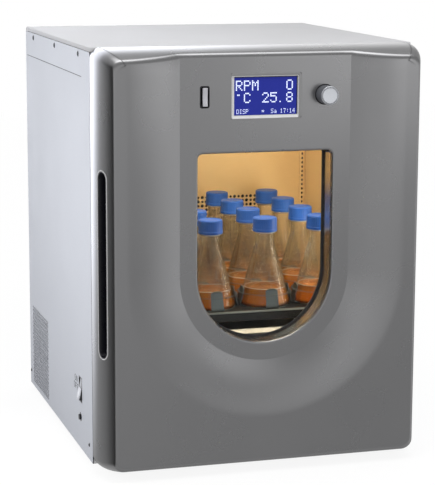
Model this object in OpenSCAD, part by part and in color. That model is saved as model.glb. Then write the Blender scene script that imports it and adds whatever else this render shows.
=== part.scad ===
// Incubated benchtop shaker.
// A heated cabinet whose whole front is a door with a window and the controls in it. Inside, a
// platform with sixteen flasks is driven round a small circle by three upright eccentric shafts.
// The shaker stands on its feet at z = 0 and its front looks along -Y. Its origin is under the
// middle of its depth and width. Each module below is drawn from the cabinet's own corner lines:
// y = 0 is the cabinet's front plane, z = 0 its underside and x = 0 its middle.

/* [Cabinet] */
// Width of the cabinet across its side panels
cabinet_w = 650; // [645:1:665]
// Depth of the cabinet from its front plane to its rear panel
cabinet_d = 655; // [645:1:680]
// Height of the cabinet above its feet
cabinet_h = 812; // [806:1:840]
// Thickness of the outer sheet panels
panel_t = 2; // [1.5:0.5:3]
// Depth of the folded edge round the top cover and the base pan
fold_h = 8; // [6:1:12]
// Gap that shows as a dark line between two outer panels
seam = 1; // [0.5:0.25:2]
// Height of a foot
foot_h = 14; // [10:1:20]
// Radius of a foot
foot_r = 22; // [16:1:28]
// Distance of a foot's axis from the cabinet's corner lines
foot_inset = 75; // [60:5:90]

/* [Chamber] */
// Thickness of the insulated wall at each side of the chamber
wall_w = 34; // [30:1:37]
// Depth of the space behind the perforated rear wall
rear_space = 125; // [120:1:127]
// Height of the chamber floor above the cabinet's underside
chamber_z = 240; // [238:1:244]
// Distance of the chamber's ceiling below the cabinet's top
roof_w = 70; // [64:1:80]
// Thickness of the chamber's sheet liner
liner_t = 1.5; // [1:0.5:2]
// Width of the frame that shows round the chamber's mouth
mouth_rim = 6; // [4:1:9]
// Thickness of the insulation under the chamber and behind it
insulation_t = 28; // [20:1:28]
// Gap round each insulation slab
slab_gap = 0.3; // [0.2:0.1:0.8]
// Depth of the space behind the rear wall in which the blower turns
plenum_d = 46; // [42:1:50]
// Diameter of a hole in the perforated rear wall
air_hole_d = 7.5; // [5:0.5:9]
// Distance between two holes of one row in the rear wall
air_hole_pitch = 19; // [16:0.5:24]
// Width of the perforated field
air_field_w = 372; // [300:2:420]
// Height of the perforated field
air_field_h = 180; // [140:2:200]
// Height of the field's lowest row above the chamber floor
air_field_z = 30; // [20:1:40]

/* [Door] */
// Depth of the door's front face before the cabinet's front plane
door_t = 100; // [96:1:110]
// Gap between the door's back and the cabinet
door_gap = 3; // [2.5:0.25:4]
// Amount by which the door's sides draw in towards its front
side_inset = 22; // [14:1:24]
// Amount by which the door's top draws in towards its front
top_inset = 19; // [12:1:24]
// Amount by which the door's underside draws in towards its front
bottom_inset = 9; // [6:1:16]
// Radius of the door's upright front edges
edge_r = 6; // [4:1:8]
// Radius of the door's top and bottom front edges
lip_r = 10; // [6:1:12]
// Radius of the corners of the door's outline
corner_r = 18; // [12:1:22]
// Depth of the flat panel sunk into the door's front
recess_depth = 22; // [18:1:24]
// Half width of that flat panel, which is also the radius of its round lower end
recess_hw = 170; // [160:1:176]
// Width of the front face that is left beside the slope round the flat panel
slope_edge = 50; // [45:1:63]
// Slope with which the front face turns into that slope, in degrees
slope_start = 4; // [2:0.5:6]
// Height of the centre of the panel's and the window's round lower ends
round_z = 377; // [370:1:384]
// Thickness of the moulding behind the flat panel
shell_t = 8; // [6:0.5:9]
// Width of the solid rim at the hollow's sides
hollow_side = 63; // [59:1:75]
// Width of the solid rim at the hollow's top and bottom
hollow_rim = 38; // [34:1:42]

/* [Window] */
// Half width of the window, which is also the radius of its round lower end
window_hw = 134; // [126:1:140]
// Distance of the window's top edge below the cabinet's top
window_drop = 199; // [192:1:212]
// Radius of the window's upper corners
window_corner_r = 10; // [6:1:16]
// Depth of the outer pane behind the flat panel
well_depth = 50; // [44:1:52]
// Wall of the frame that lines the window's well
frame_wall = 3; // [2:0.5:5]
// Width of the clamping flange behind the frame
frame_flange = 12; // [10:1:14]
// Thickness of a window pane
pane_t = 4; // [3:0.5:5]
// Width of the black gasket that shows round the outer pane
gasket_w = 3.5; // [2:0.5:5]

/* [Door hinge] */
// Distance of the hinge axis from the door's side and from its back
hinge_inset = 10; // [9:0.5:12]
// Radius of a hinge pin
hinge_pin_r = 4; // [3:0.5:4.5]
// Length of a hinge pin
hinge_pin_len = 32; // [28:1:44]
// Thickness of a hinge bracket's arm
hinge_arm_t = 6; // [4:0.5:8]
// Height of the lower hinge above the cabinet's underside
hinge_low_z = 96; // [80:1:110]
// Distance of the upper hinge below the cabinet's top
hinge_drop = 88; // [72:1:112]
// Radial clearance of a turning fit
turn_fit = 0.05; // [0.02:0.01:0.1]
// Gap between two parts that are assembled but don't move on each other
seat_gap = 0.1; // [0.05:0.05:0.2]
// Gap beside a part that moves
move_gap = 0.5; // [0.3:0.1:0.8]

/* [Door handle] */
// Width of the handle slot in the door's side
handle_w = 32; // [28:1:34]
// Length of the handle slot
handle_len = 360; // [300:5:400]
// Distance of the slot's centre line from the cabinet's front plane
handle_y = 64; // [60:1:66]
// Depth of the slot from the door's widest line
handle_depth = 35; // [30:1:42]
// Wall of the cup that lines the slot
cup_wall = 2.5; // [2:0.5:3.5]

/* [Controls] */
// Distance of the controls' middle line below the cabinet's top
control_drop = 91; // [86:1:100]
// Width of the visible display
display_w = 126; // [110:1:130]
// Height of the visible display
display_h = 73; // [64:1:76]
// Width of the bezel round the display
bezel_w = 7; // [6:0.5:9]
// Distance of the knob's axis from the door's middle
knob_x = 117.5; // [112:0.5:124]
// Radius of the knob
knob_r = 18; // [14:0.5:20]
// Distance of the knob's face from the flat panel
knob_len = 30; // [26:1:34]
// Travel of the knob when it is pressed
knob_travel = 1.5; // [1:0.25:2]
// Radius of the encoder's shaft
encoder_r = 3; // [2.5:0.25:4]
// Distance of the start and stop switch from the door's middle
rocker_x = 121.5; // [116:0.5:126]
// Width of the start and stop switch
rocker_w = 19; // [17:0.5:22]
// Height of the start and stop switch
rocker_h = 42; // [38:1:46]
// Tilt of the start and stop rocker to either side, in degrees
rocker_tilt = 6; // [4:0.5:7]

/* [Power entry] */
// Distance of the power switch from the cabinet's front plane
power_y = 109.5; // [100:0.5:125]
// Height of the power switch's middle above the cabinet's underside
power_z = 122; // [115:1:130]
// Width of the power switch's cut-out
power_w = 31; // [28:0.5:34]
// Height of the power switch's cut-out
power_h = 52; // [48:1:56]
// Half of the power rocker's swing, in degrees
power_tilt = 9; // [6:0.5:10]
// Height of the circuit breaker above the cabinet's underside
breaker_z = 65.5; // [58:0.5:72]
// Radius of the circuit breaker's bush
breaker_r = 9.5; // [8:0.5:11]
// Travel of the reset button
reset_travel = 3; // [2:0.5:4]
// Distance of the power inlet from the cabinet's side
inlet_side = 110; // [85:1:145]
// Height of the power inlet above the cabinet's underside
inlet_z = 62; // [50:1:80]

/* [Side grille] */
// Width and height of the perforated field
grille_w = 180; // [140:5:180]
// Distance of the field's middle from the cabinet's rear
grille_rear = 124; // [115:1:155]
// Height of the field's middle above the cabinet's underside
grille_z = 99; // [97:1:120]
// Diameter of a grille hole
grille_hole_d = 5.5; // [4:0.25:6]
// Distance between grille holes
grille_pitch = 9; // [8:0.25:12]

/* [Orbital drive] */
// Radius of the circle that the platform travels
orbit_r = 12.7; // [10:0.1:14]
// Distance of the main shaft behind the middle of the drive
main_y = 110; // [100:1:120]
// Distance of the idler shafts before the middle of the drive
idler_y = 80; // [70:1:95]
// Distance of the idler shafts beside the middle of the drive
idler_x = 120; // [110:1:125]
// Radius of the main shaft
main_shaft_r = 12.5; // [11:0.5:14]
// Radius of an eccentric pin
pin_r = 10; // [8:0.5:11]
// Radial wall of every bearing
bearing_wall = 11; // [9:0.5:13]
// Wall of a bearing housing
housing_wall = 8; // [6:0.5:10]
// Height of the drive plate's underside above the base pan
drive_plate_z = 47; // [44:1:54]
// Thickness of the drive plate
drive_plate_t = 10; // [8:1:12]
// Radius of the main pulley
main_pulley_r = 80; // [70:1:84]
// Radius of the motor pulley
motor_pulley_r = 22; // [18:1:26]
// Width of the belt
belt_w = 15; // [12:0.5:18]
// Thickness of the belt
belt_t = 3; // [2:0.5:4]
// Distance of the motor beside the middle of the drive
motor_x = -150; // [-165:1:-140]
// Distance of the motor behind the middle of the drive
motor_y = 207; // [200:1:215]
// Radius of the drive motor
motor_r = 48; // [40:1:50]
// Height of the drive motor
motor_h = 110; // [90:1:120]
// Outer radius of the main counterweight
weight_r = 95; // [80:1:98]

/* [Platform] */
// Width of the platform
platform_w = 460; // [456:1:464]
// Height of the platform's top above the chamber floor
platform_z = 37; // [35:0.5:40]
// Thickness of the platform's plate
platform_t = 4; // [3:0.5:5]
// Height of the platform's skirt with the plate
skirt_h = 20; // [18:0.5:22]
// Thickness of the platform's skirt
skirt_t = 3; // [2:0.5:4]
// Free space before the platform when it is at its foremost
platform_clear = 20; // [12:1:24]
// Free space behind the platform when it is at its rearmost
platform_rear = 24.6; // [20:0.1:28]
// Distance of the holes in the platform's corners from its edges
corner_hole_inset = 15; // [13:1:20]
// Radius of the holes in the platform's corners
corner_hole_r = 2.75; // [2:0.25:3.5]

/* [Flasks] */
// Distance between two flasks
flask_pitch = 115; // [114:0.5:116]
// Radius of a flask's base
flask_r = 52.5; // [46:0.5:53]
// Radius of a flask's neck
neck_r = 19; // [16:0.5:20]
// Height of a flask at which its cone meets its neck
cone_h = 128; // [110:1:135]
// Height of a flask with its cap
flask_h = 178; // [170:1:195]
// Thickness of the glass
glass_t = 2; // [1.5:0.25:3]
// Radius of a cap
cap_r = 25; // [23:0.5:27]
// Height of a cap
cap_h = 28; // [24:1:34]
// Depth of the culture medium in a flask
medium_h = 36; // [20:1:60]
// Width of a clamp's leg
leg_w = 26; // [20:1:28]
// Height of a clamp's leg
leg_h = 40; // [32:1:46]
// Thickness of a clamp's sheet
clamp_t = 1.5; // [1:0.25:2]
// Radius of the wire ring that pulls a clamp's legs in
ring_wire_r = 1.6; // [1:0.1:2]

/* [Hidden] */
$fn = 48;
fine = 240;
over = 1;

// Cabinet
half_w = cabinet_w / 2;
front_y = (door_t + max(0, knob_len - recess_depth) - cabinet_d) / 2;
inner_hw = half_w - panel_t - slab_gap;
side_h = cabinet_h - fold_h - seam;
chamber_w = cabinet_w - 2 * wall_w;
chamber_d = cabinet_d - rear_space;
chamber_hw = chamber_w / 2;
chamber_top = cabinet_h - roof_w;
chamber_h = chamber_top - chamber_z;
grille_y = cabinet_d - grille_rear;
mouth_hw = chamber_hw - mouth_rim;
mouth_low = chamber_z + 2;
mouth_high = chamber_top - mouth_rim;
mouth_corner_r = 8;
plenum_back = chamber_d + plenum_d;
rear_inside = cabinet_d - panel_t;

// Door
door_body_t = door_t - door_gap;
side_flat = hinge_inset;
corner_out = 0.5;
panel_y = -(door_t - recess_depth);
slope_hw = half_w - slope_edge;
window_top = cabinet_h - window_drop;
hinge_high_z = cabinet_h - hinge_drop;
handle_z = cabinet_h / 2;
control_z = cabinet_h - control_drop;
hollow_y = panel_y + shell_t;
hollow_hw = half_w - hollow_side;
hollow_r = 12;
liner_y = -door_gap - liner_t;
liner_hw = half_w - 2.5 * hinge_inset;
hinge_x = half_w - hinge_inset;
hinge_y = -door_gap - hinge_inset;
hinge_arm_r = hinge_pin_r + 4;
hinge_slot = hinge_inset + 3;
leaf_t = door_gap - 1;
leaf_h = 44;
pane_y = panel_y + well_depth;
seal_w = 14;
seal_offset = 2;
seal_y = -0.3;
leaf_x = mouth_hw + seal_offset + seal_w + 2;

// Controls
knob_pocket = 4;
knob_back_y = panel_y + knob_travel;
knob_face_y = panel_y - knob_len;
encoder_tip_y = knob_face_y + 14;
board_y = hollow_y + 6;
board_t = 1.6;
board_w = 324;
board_h = 108;
board_drop = 6;
encoder_body_w = 15;
core_top = control_z - board_h / 2 - board_drop - 20;
rocker_wall = 1.8;
rocker_pin_y = panel_y + 6;
rocker_pin_r = 1.5;

// Power entry
power_wall = 2.5;
power_pin_x = -half_w + 9;
power_pin_r = 2;
reset_r = breaker_r - 3.8;
reset_proud = 4;
inlet_w = 27;
inlet_h = 19.5;
inlet_depth = 21;
inlet_pin_len = 15;
inlet_x = inlet_side - half_w;

// Drive
pan_t = panel_t + 1;
platform_d = chamber_d - platform_clear - platform_rear - 2 * orbit_r;
drive_y = platform_clear + orbit_r + platform_d / 2;
platform_y = drive_y + orbit_r;
platform_top = chamber_z + platform_z;
platform_low = platform_top - skirt_h;
sub_top = platform_top - platform_t;
sub_t = 10;
hub_low = platform_top - 27;
collar_top = hub_low - 4;
pin_top = sub_top - 2;
floor_hole_r = orbit_r + pin_r + 7;
slab_low = chamber_z - liner_t - slab_gap - insulation_t;
disc_top = slab_low - 5;
disc_t = 18;
disc_low = disc_top - disc_t;
housing_top = disc_low - 3;
plate_low = pan_t + drive_plate_z;
plate_top = plate_low + drive_plate_t;
belt_z = plate_low - 22;
pulley_t = belt_w + 5;
pulley_low = belt_z - pulley_t / 2;
bearing_h = 15;
main_housing_r = main_shaft_r + bearing_wall + housing_wall;
idler_housing_r = pin_r + bearing_wall + housing_wall;
motor_shaft_r = 7;
main_pos = [0, drive_y + main_y];
idler_pos = [idler_x, drive_y - idler_y];
motor_pos = [motor_x, drive_y + motor_y];
blower_z = chamber_z + air_field_z + air_field_h / 2 + 20;
wheel_r = 78;
wheel_t = 28;
blower_shaft_r = 5;
blower_motor_r = 38;

// Flasks
cap_wall = 3;
flask_z = platform_top + clamp_t;
rim_z = flask_h - cap_wall - seat_gap;
foot_chamfer = 6;
cone_fall = (flask_r - neck_r) / (cone_h - foot_chamfer);
leg_r = flask_r + 0.8;
leg_lean = leg_r - 7.3;

// Moves a part drawn from the cabinet's corner lines into the frame of the whole shaker
module placed() {
    translate([0, front_y, foot_h]) children();
}

// Extrudes an outline drawn in (y, z) from x = a to x = b
module along_x(a, b) {
    translate([a, 0, 0]) rotate([90, 0, 90]) linear_extrude(b - a) children();
}

// Extrudes an outline drawn in (x, z) from y = a to y = b
module along_y(a, b) {
    translate([0, b, 0]) rotate([90, 0, 0]) linear_extrude(b - a) children();
}

// Extrudes an outline drawn in (x, y) from z = a to z = b
module along_z(a, b) {
    translate([0, 0, a]) linear_extrude(b - a) children();
}

// Box from its lowest and highest corners
module block(low, high) {
    translate(low) cube(high - low);
}

// Rectangle with its four corners rounded, centred
module rounded_rect(w, h, r) {
    square([w - 2 * r, h], center = true);
    square([w, h - 2 * r], center = true);
    for (sx = [-1, 1], sy = [-1, 1])
        translate([sx * (w / 2 - r), sy * (h / 2 - r)]) circle(r);
}

// Upright slot with full round ends, centred
module round_slot(w, h) {
    square([w, h - w], center = true);
    for (s = [-1, 1])
        translate([0, s * (h - w) / 2]) circle(w / 2);
}

// Outline of the window or of a ring round it, drawn in (x, z): a round lower end of radius hw,
// straight sides, and upper corners of radius r below the height top
module window_outline(hw, top, r) {
    translate([0, round_z]) circle(hw, $fn = fine);
    translate([-hw, round_z]) square([2 * hw, top - r - round_z]);
    translate([-hw + r, round_z]) square([2 * (hw - r), top - round_z]);
    for (s = [-1, 1])
        translate([s * (hw - r), top - r]) circle(r);
}

// The window's outline grown outwards by an amount
module grown_window(grow) {
    window_outline(window_hw + grow, window_top + grow, max(2, window_corner_r + grow));
}

// Radius of an arc that leaves a straight line and is off it by inset after a run
function arc_radius(run, inset) = (run * run + inset * inset) / (2 * inset);

// Cabinet shell

module base_pan() {
    color("gainsboro") placed() {
        block([-inner_hw, panel_t, 0], [inner_hw, rear_inside - slab_gap, pan_t]);
        for (s = [-1, 1])
            translate([s * (inner_hw - pan_t / 2), cabinet_d / 2, pan_t + fold_h / 2 - over / 2])
                cube([pan_t, cabinet_d - 80, fold_h + over], center = true);
    }
}

module foot() {
    rotate_extrude()
        polygon([
            [0, 0], [foot_r - 4, 0], [foot_r - 2, 2],
            [foot_r, foot_h - 3], [foot_r, foot_h], [0, foot_h]
        ]);
}

module feet() {
    color("dimgray") placed()
        for (sx = [-1, 1], y = [foot_inset, cabinet_d - foot_inset])
            translate([sx * (half_w - foot_inset), y, -foot_h]) foot();
}

// Places of the screws along a side panel's top edge and its bottom edge, in (y, z)
screw_front = 102;
screw_rear = cabinet_d - 89;
top_screws = [for (y = [screw_front, (screw_front + screw_rear) / 2, screw_rear]) [y, side_h - 10]];
bottom_screws = [for (y = [30, cabinet_d - 10]) [y, 30]];
top_screw_r = 5.8;
bottom_screw_r = 4;
screw_len = 8;
groove_w = 1.6;
groove_z = side_h - 52;

module side_outline() {
    corner = 5;
    difference() {
        square([cabinet_d, side_h]);
        translate([0, side_h - corner]) square(corner);
        for (p = top_screws)
            translate(p) circle(top_screw_r + seat_gap);
        for (p = bottom_screws)
            translate(p) circle(bottom_screw_r + seat_gap);
    }
    translate([corner, side_h - corner]) circle(corner);
}

module grille_holes() {
    count = floor(grille_w / grille_pitch);
    for (i = [0 : count - 1], j = [0 : count - 1])
        translate([
            grille_y + (i - (count - 1) / 2) * grille_pitch,
            grille_z + (j - (count - 1) / 2) * grille_pitch
        ]) circle(grille_hole_d / 2, $fn = 16);
}

module side_groove(x) {
    r = groove_w / 2;
    block([x - r, 74, groove_z - r], [x + r, cabinet_d - 14, groove_z + r]);
}

module left_side_panel() {
    color("lightsteelblue") placed() difference() {
        along_x(-half_w, -half_w + panel_t) difference() {
            side_outline();
            grille_holes();
            translate([power_y, power_z]) square([power_w, power_h], center = true);
            translate([power_y, breaker_z]) circle(breaker_r);
        }
        side_groove(-half_w);
    }
}

module right_side_panel() {
    color("lightsteelblue") placed() difference() {
        along_x(half_w - panel_t, half_w) side_outline();
        side_groove(half_w);
    }
}

module top_cover() {
    color("whitesmoke") placed() difference() {
        along_z(cabinet_h - fold_h, cabinet_h)
            translate([0, cabinet_d / 2]) rounded_rect(cabinet_w, cabinet_d, 4);
        block(
            [-half_w + panel_t, panel_t, cabinet_h - fold_h - over],
            [half_w - panel_t, cabinet_d - panel_t, cabinet_h - panel_t]
        );
    }
}

// A row of upright air slots in the rear panel
module vent_slots(x, z, columns) {
    slot_w = 5;
    slot_h = 60;
    pitch = 12;
    for (i = [0 : columns - 1])
        translate([x + (i - (columns - 1) / 2) * pitch, z]) round_slot(slot_w, slot_h);
}

module rear_panel() {
    color("gainsboro") placed() along_y(rear_inside, cabinet_d) difference() {
        translate([-inner_hw, 0]) square([2 * inner_hw, side_h]);
        translate([inlet_x, inlet_z]) rounded_rect(inlet_w, inlet_h, 2);
        vent_slots(40, 100, 16);
        vent_slots(0, blower_z, 7);
    }
}

module front_frame() {
    color("silver") placed() along_y(0, panel_t) difference() {
        translate([-inner_hw, 0]) square([2 * inner_hw, side_h]);
        translate([0, (mouth_low + mouth_high) / 2])
            rounded_rect(2 * mouth_hw, mouth_high - mouth_low, mouth_corner_r);
    }
}

// A cross-head screw whose head is flush with the left side panel, at (y, z)
module side_screw(y, z, r) {
    difference() {
        union() {
            translate([-half_w, y, z]) rotate([0, 90, 0]) cylinder(h = panel_t, r = r);
            translate([-half_w + panel_t / 2, y, z]) rotate([0, 90, 0])
                cylinder(h = screw_len, r = r * 0.45);
        }
        for (a = [0, 90])
            translate([-half_w, y, z]) rotate([a, 0, 0]) cube([1.6, r * 1.2, 1], center = true);
    }
}

module panel_screws() {
    color("dimgray") placed()
        for (m = [0, 1]) mirror([m, 0, 0]) {
            for (p = top_screws)
                side_screw(p.x, p.y, top_screw_r);
            for (p = bottom_screws)
                side_screw(p.x, p.y, bottom_screw_r);
        }
}

module hinge_brackets() {
    color("silver") placed() for (z = [hinge_low_z, hinge_high_z]) difference() {
        union() {
            along_z(z - hinge_arm_t / 2, z + hinge_arm_t / 2) {
                translate([hinge_x, hinge_y]) circle(hinge_arm_r);
                translate([hinge_x - hinge_arm_r, hinge_y])
                    square([2 * hinge_arm_r, -hinge_y - seat_gap]);
            }
            block(
                [leaf_x, -leaf_t - seat_gap, z - leaf_h / 2],
                [hinge_x + 1, -seat_gap, z + leaf_h / 2]
            );
        }
        translate([hinge_x, hinge_y, z])
            cylinder(h = hinge_arm_t + 2 * over, r = hinge_pin_r + turn_fit, center = true);
        for (s = [-1, 1])
            translate([(leaf_x + hinge_x) / 2, 0, z + s * leaf_h * 0.33]) rotate([90, 0, 0])
                cylinder(h = 4 * door_gap, r = 2.5, center = true);
    }
}

// Chamber

module shaft_holes(r) {
    translate(main_pos) circle(r);
    for (s = [-1, 1])
        translate([s * idler_pos.x, idler_pos.y]) circle(r);
}

module chamber_floor() {
    color("silver") placed() {
        along_z(chamber_z - liner_t, chamber_z) difference() {
            translate([-chamber_hw + seat_gap, panel_t + seat_gap])
                square([chamber_w - 2 * seat_gap, chamber_d - panel_t - 2 * seat_gap]);
            shaft_holes(floor_hole_r);
        }
        along_z(chamber_z - liner_t, collar_top) difference() {
            shaft_holes(floor_hole_r + 2);
            shaft_holes(floor_hole_r);
        }
    }
}

module chamber_side_walls() {
    color("burlywood") placed() for (m = [0, 1]) mirror([m, 0, 0])
        block(
            [chamber_hw, panel_t + seat_gap, chamber_z - liner_t],
            [chamber_hw + liner_t, plenum_back, chamber_top]
        );
}

module chamber_ceiling() {
    color("burlywood") placed()
        block(
            [-chamber_hw - liner_t, panel_t + seat_gap, chamber_top + seat_gap],
            [chamber_hw + liner_t, plenum_back, chamber_top + seat_gap + liner_t]
        );
}

module air_holes() {
    columns = floor(air_field_w / air_hole_pitch);
    rows = floor(2 * air_field_h / air_hole_pitch);
    for (j = [0 : rows - 1], i = [0 : columns - 1])
        translate([
            (i - (columns - 1) / 2 + (j % 2) / 2) * air_hole_pitch,
            chamber_z + air_field_z + j * air_hole_pitch / 2
        ]) circle(air_hole_d / 2, $fn = 16);
}

module chamber_rear_wall() {
    color("burlywood") placed() along_y(chamber_d, chamber_d + liner_t) difference() {
        translate([-chamber_hw + seat_gap, chamber_z - liner_t])
            square([chamber_w - 2 * seat_gap, chamber_h + liner_t]);
        air_holes();
    }
}

module insulation() {
    wall_x = chamber_hw + liner_t + slab_gap;
    roof_z = chamber_top + seat_gap + liner_t + slab_gap;
    roof_hw = half_w - panel_t / 2 - screw_len - slab_gap;
    color("khaki") placed() {
        for (m = [0, 1]) mirror([m, 0, 0])
            block([wall_x, panel_t + slab_gap, slab_low], [inner_hw, plenum_back, chamber_top]);
        block(
            [-roof_hw, panel_t + slab_gap, roof_z],
            [roof_hw, plenum_back, cabinet_h - fold_h - slab_gap]
        );
        along_z(slab_low, slab_low + insulation_t) difference() {
            translate([-wall_x + 2 * slab_gap, panel_t + slab_gap])
                square([2 * wall_x - 4 * slab_gap, plenum_back - panel_t - slab_gap]);
            shaft_holes(floor_hole_r + 3);
        }
        along_y(plenum_back + slab_gap, plenum_back + slab_gap + insulation_t) difference() {
            translate([-inner_hw, slab_low])
                square([2 * inner_hw, cabinet_h - fold_h - slab_gap - slab_low]);
            translate([0, blower_z]) circle(blower_shaft_r + 3);
        }
    }
}

module heater_element() {
    ring_r = wheel_r + 20;
    tube_r = 4;
    lead_len = 20;
    lead_x = 3 * tube_r;
    color("dimgray") placed() {
        translate([0, plenum_back - lead_len, blower_z]) rotate([90, 0, 0])
            rotate_extrude($fn = fine) translate([ring_r, 0]) circle(tube_r);
        for (s = [-1, 1])
            translate([s * lead_x, plenum_back, blower_z + sqrt(ring_r * ring_r - lead_x * lead_x)])
                rotate([90, 0, 0]) cylinder(h = lead_len, r = tube_r - 0.5);
    }
}

module blower_motor() {
    face_y = plenum_back + slab_gap + insulation_t + seat_gap;
    color("darkslategray") placed() difference() {
        union() {
            along_y(face_y, face_y + 4) translate([0, blower_z]) rounded_rect(100, 100, 8);
            along_y(face_y + 3, rear_inside - 5) translate([0, blower_z]) circle(blower_motor_r);
        }
        along_y(face_y - over, face_y + 16)
            translate([0, blower_z]) circle(blower_shaft_r + turn_fit);
    }
}

module blower_wheel() {
    back_y = plenum_back - 8;
    blades = 16;
    color("silver") placed() translate([0, 0, blower_z]) {
        along_y(back_y - 2, back_y) circle(wheel_r);
        along_y(back_y - wheel_t, back_y - wheel_t + 2) difference() {
            circle(wheel_r);
            circle(wheel_r - 20);
        }
        for (i = [0 : blades - 1])
            rotate([0, i * 360 / blades, 0])
                block([wheel_r - 22, back_y - wheel_t + 1, -1], [wheel_r - 1, back_y - 1, 1]);
        along_y(back_y - 16, back_y) circle(blower_shaft_r + 6);
        along_y(back_y - 1, plenum_back + slab_gap + insulation_t + 14) circle(blower_shaft_r);
    }
}

module chamber_lamp() {
    lamp_w = 220;
    lamp_d = 44;
    lamp_h = 18;
    wall = 4;
    tube_r = 4.5;
    inner = [lamp_w / 2 - wall, lamp_d / 2 - wall];
    cover = inner - [seat_gap, seat_gap];
    color("ivory") placed() translate([0, 60, chamber_top]) {
        difference() {
            block([-lamp_w / 2, -lamp_d / 2, -lamp_h], [lamp_w / 2, lamp_d / 2, 0]);
            block([-inner.x, -inner.y, -lamp_h - over], [inner.x, inner.y, -wall]);
        }
        block([-cover.x, -cover.y, -lamp_h], [cover.x, cover.y, -lamp_h + wall]);
        for (s = [-1, 1])
            translate([0, s * 2 * tube_r, -lamp_h / 2]) rotate([0, 90, 0])
                cylinder(h = 2 * cover.x, r = tube_r, center = true);
    }
}

// Drive under the chamber

plate_front = idler_pos.y - 55;
plate_rear = motor_pos.y + 62;
plate_left = motor_x - 62;
plate_right = idler_x + 55;

module drive_plate() {
    color("slategray") placed() along_z(plate_low, plate_top) difference() {
        translate([(plate_left + plate_right) / 2, (plate_front + plate_rear) / 2])
            rounded_rect(plate_right - plate_left, plate_rear - plate_front, 18);
        translate(main_pos) circle(main_shaft_r + 4);
        translate(motor_pos) circle(motor_shaft_r + 5);
        for (s = [-1, 1])
            translate([s * idler_pos.x, idler_pos.y]) circle(pin_r + 4);
    }
}

module drive_mounts() {
    color("dimgray") placed()
        for (x = [plate_left + 24, plate_right - 24], y = [plate_front + 24, plate_rear - 24])
            translate([x, y, pan_t]) cylinder(h = drive_plate_z, r = 18);
}

// One upright tube with a foot flange and a bearing seat, its foot at the drive plate's top
module bearing_housing(outer_r, bore_r) {
    difference() {
        union() {
            along_z(plate_top, housing_top) circle(outer_r);
            along_z(plate_top, plate_top + 8) circle(outer_r + 14);
        }
        along_z(plate_top - over, housing_top + over) circle(bore_r);
        for (a = [45 : 90 : 315])
            rotate(a) translate([outer_r + 7, 0, plate_top + 4])
                cylinder(h = 8 + 2 * over, r = 3, center = true);
    }
}

module bearing_housings() {
    color("lightslategray") placed() {
        translate(main_pos) bearing_housing(main_housing_r, main_housing_r - housing_wall);
        for (s = [-1, 1])
            translate([s * idler_pos.x, idler_pos.y])
                bearing_housing(idler_housing_r, idler_housing_r - housing_wall);
    }
}

// Bearing ring with its lower face at height z
module bearing(z, shaft_r) {
    along_z(z, z + bearing_h) difference() {
        circle(shaft_r + bearing_wall - seat_gap / 3);
        circle(shaft_r + turn_fit);
    }
}

module shaft_bearings() {
    color("silver") placed() for (z = [plate_top + 4, housing_top - bearing_h - 2]) {
        translate(main_pos) bearing(z, main_shaft_r);
        for (s = [-1, 1])
            translate([s * idler_pos.x, idler_pos.y]) bearing(z, pin_r);
    }
}

module main_crankshaft() {
    color("silver") placed() translate(main_pos) {
        along_z(pulley_low - 4, disc_low + over) circle(main_shaft_r);
        along_z(disc_low, disc_top) circle(40);
        translate([0, orbit_r]) along_z(disc_top - over, pin_top) circle(pin_r);
    }
}

module main_pulley() {
    color("slategray") placed() translate(main_pos) difference() {
        union() {
            along_z(pulley_low, pulley_low + pulley_t) circle(main_pulley_r, $fn = fine);
            for (z = [pulley_low, pulley_low + pulley_t - 2])
                along_z(z, z + 2) circle(main_pulley_r + 3, $fn = fine);
        }
        along_z(pulley_low - over, pulley_low + pulley_t + over)
            circle(main_shaft_r + seat_gap / 3);
    }
}

module main_counterweight() {
    color("gray") placed() translate(main_pos) along_z(disc_low + 2, disc_top - 1) difference() {
        circle(weight_r, $fn = fine);
        circle(40 + seat_gap);
        translate([-weight_r - over, -8]) square([2 * (weight_r + over), weight_r + 8 + over]);
    }
}

module idler_crank() {
    weight = 58;
    along_z(plate_low + 2, disc_low + 2 + over) circle(pin_r);
    along_z(disc_low + 2, disc_top) circle(32);
    translate([0, orbit_r]) along_z(disc_top - over, pin_top) circle(pin_r);
    along_z(disc_low + 2, disc_top - 1) difference() {
        circle(weight);
        translate([-weight - over, 0]) square([2 * (weight + over), weight + over]);
    }
}

module idler_crank_left() {
    color("silver") placed() translate([-idler_pos.x, idler_pos.y]) idler_crank();
}

module idler_crank_right() {
    color("silver") placed() translate(idler_pos) idler_crank();
}

module drive_motor() {
    color("darkslategray") placed() translate(motor_pos) difference() {
        union() {
            along_z(plate_top, plate_top + 8) rounded_rect(2 * motor_r + 4, 2 * motor_r + 4, 8);
            along_z(plate_top + 7, plate_top + motor_h) circle(motor_r);
        }
        along_z(plate_top - over, plate_top + 26) circle(motor_shaft_r + turn_fit);
    }
}

module motor_pulley() {
    color("slategray") placed() translate(motor_pos) {
        along_z(pulley_low, pulley_low + pulley_t) circle(motor_pulley_r);
        for (z = [pulley_low, pulley_low + pulley_t - 2])
            along_z(z, z + 2) circle(motor_pulley_r + 3);
        along_z(pulley_low, plate_top + 24) circle(motor_shaft_r);
    }
}

// Outline of a taut loop round the two pulleys, both grown by an amount
module loop_outline(grow) {
    line = motor_pos - main_pos;
    far = norm(line);
    open = acos((main_pulley_r - motor_pulley_r) / far);
    translate(main_pos) rotate(atan2(line.y, line.x)) {
        circle(main_pulley_r + grow, $fn = fine);
        translate([far, 0]) circle(motor_pulley_r + grow, $fn = fine);
        polygon([
            for (s = [-1, 1])
                for (end = s > 0 ? [1, 0] : [0, 1])
                    [
                        end * far + cos(open) * (grow + (end == 1 ? motor_pulley_r : main_pulley_r)),
                        s * sin(open) * (grow + (end == 1 ? motor_pulley_r : main_pulley_r))
                    ]
        ]);
    }
}

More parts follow.
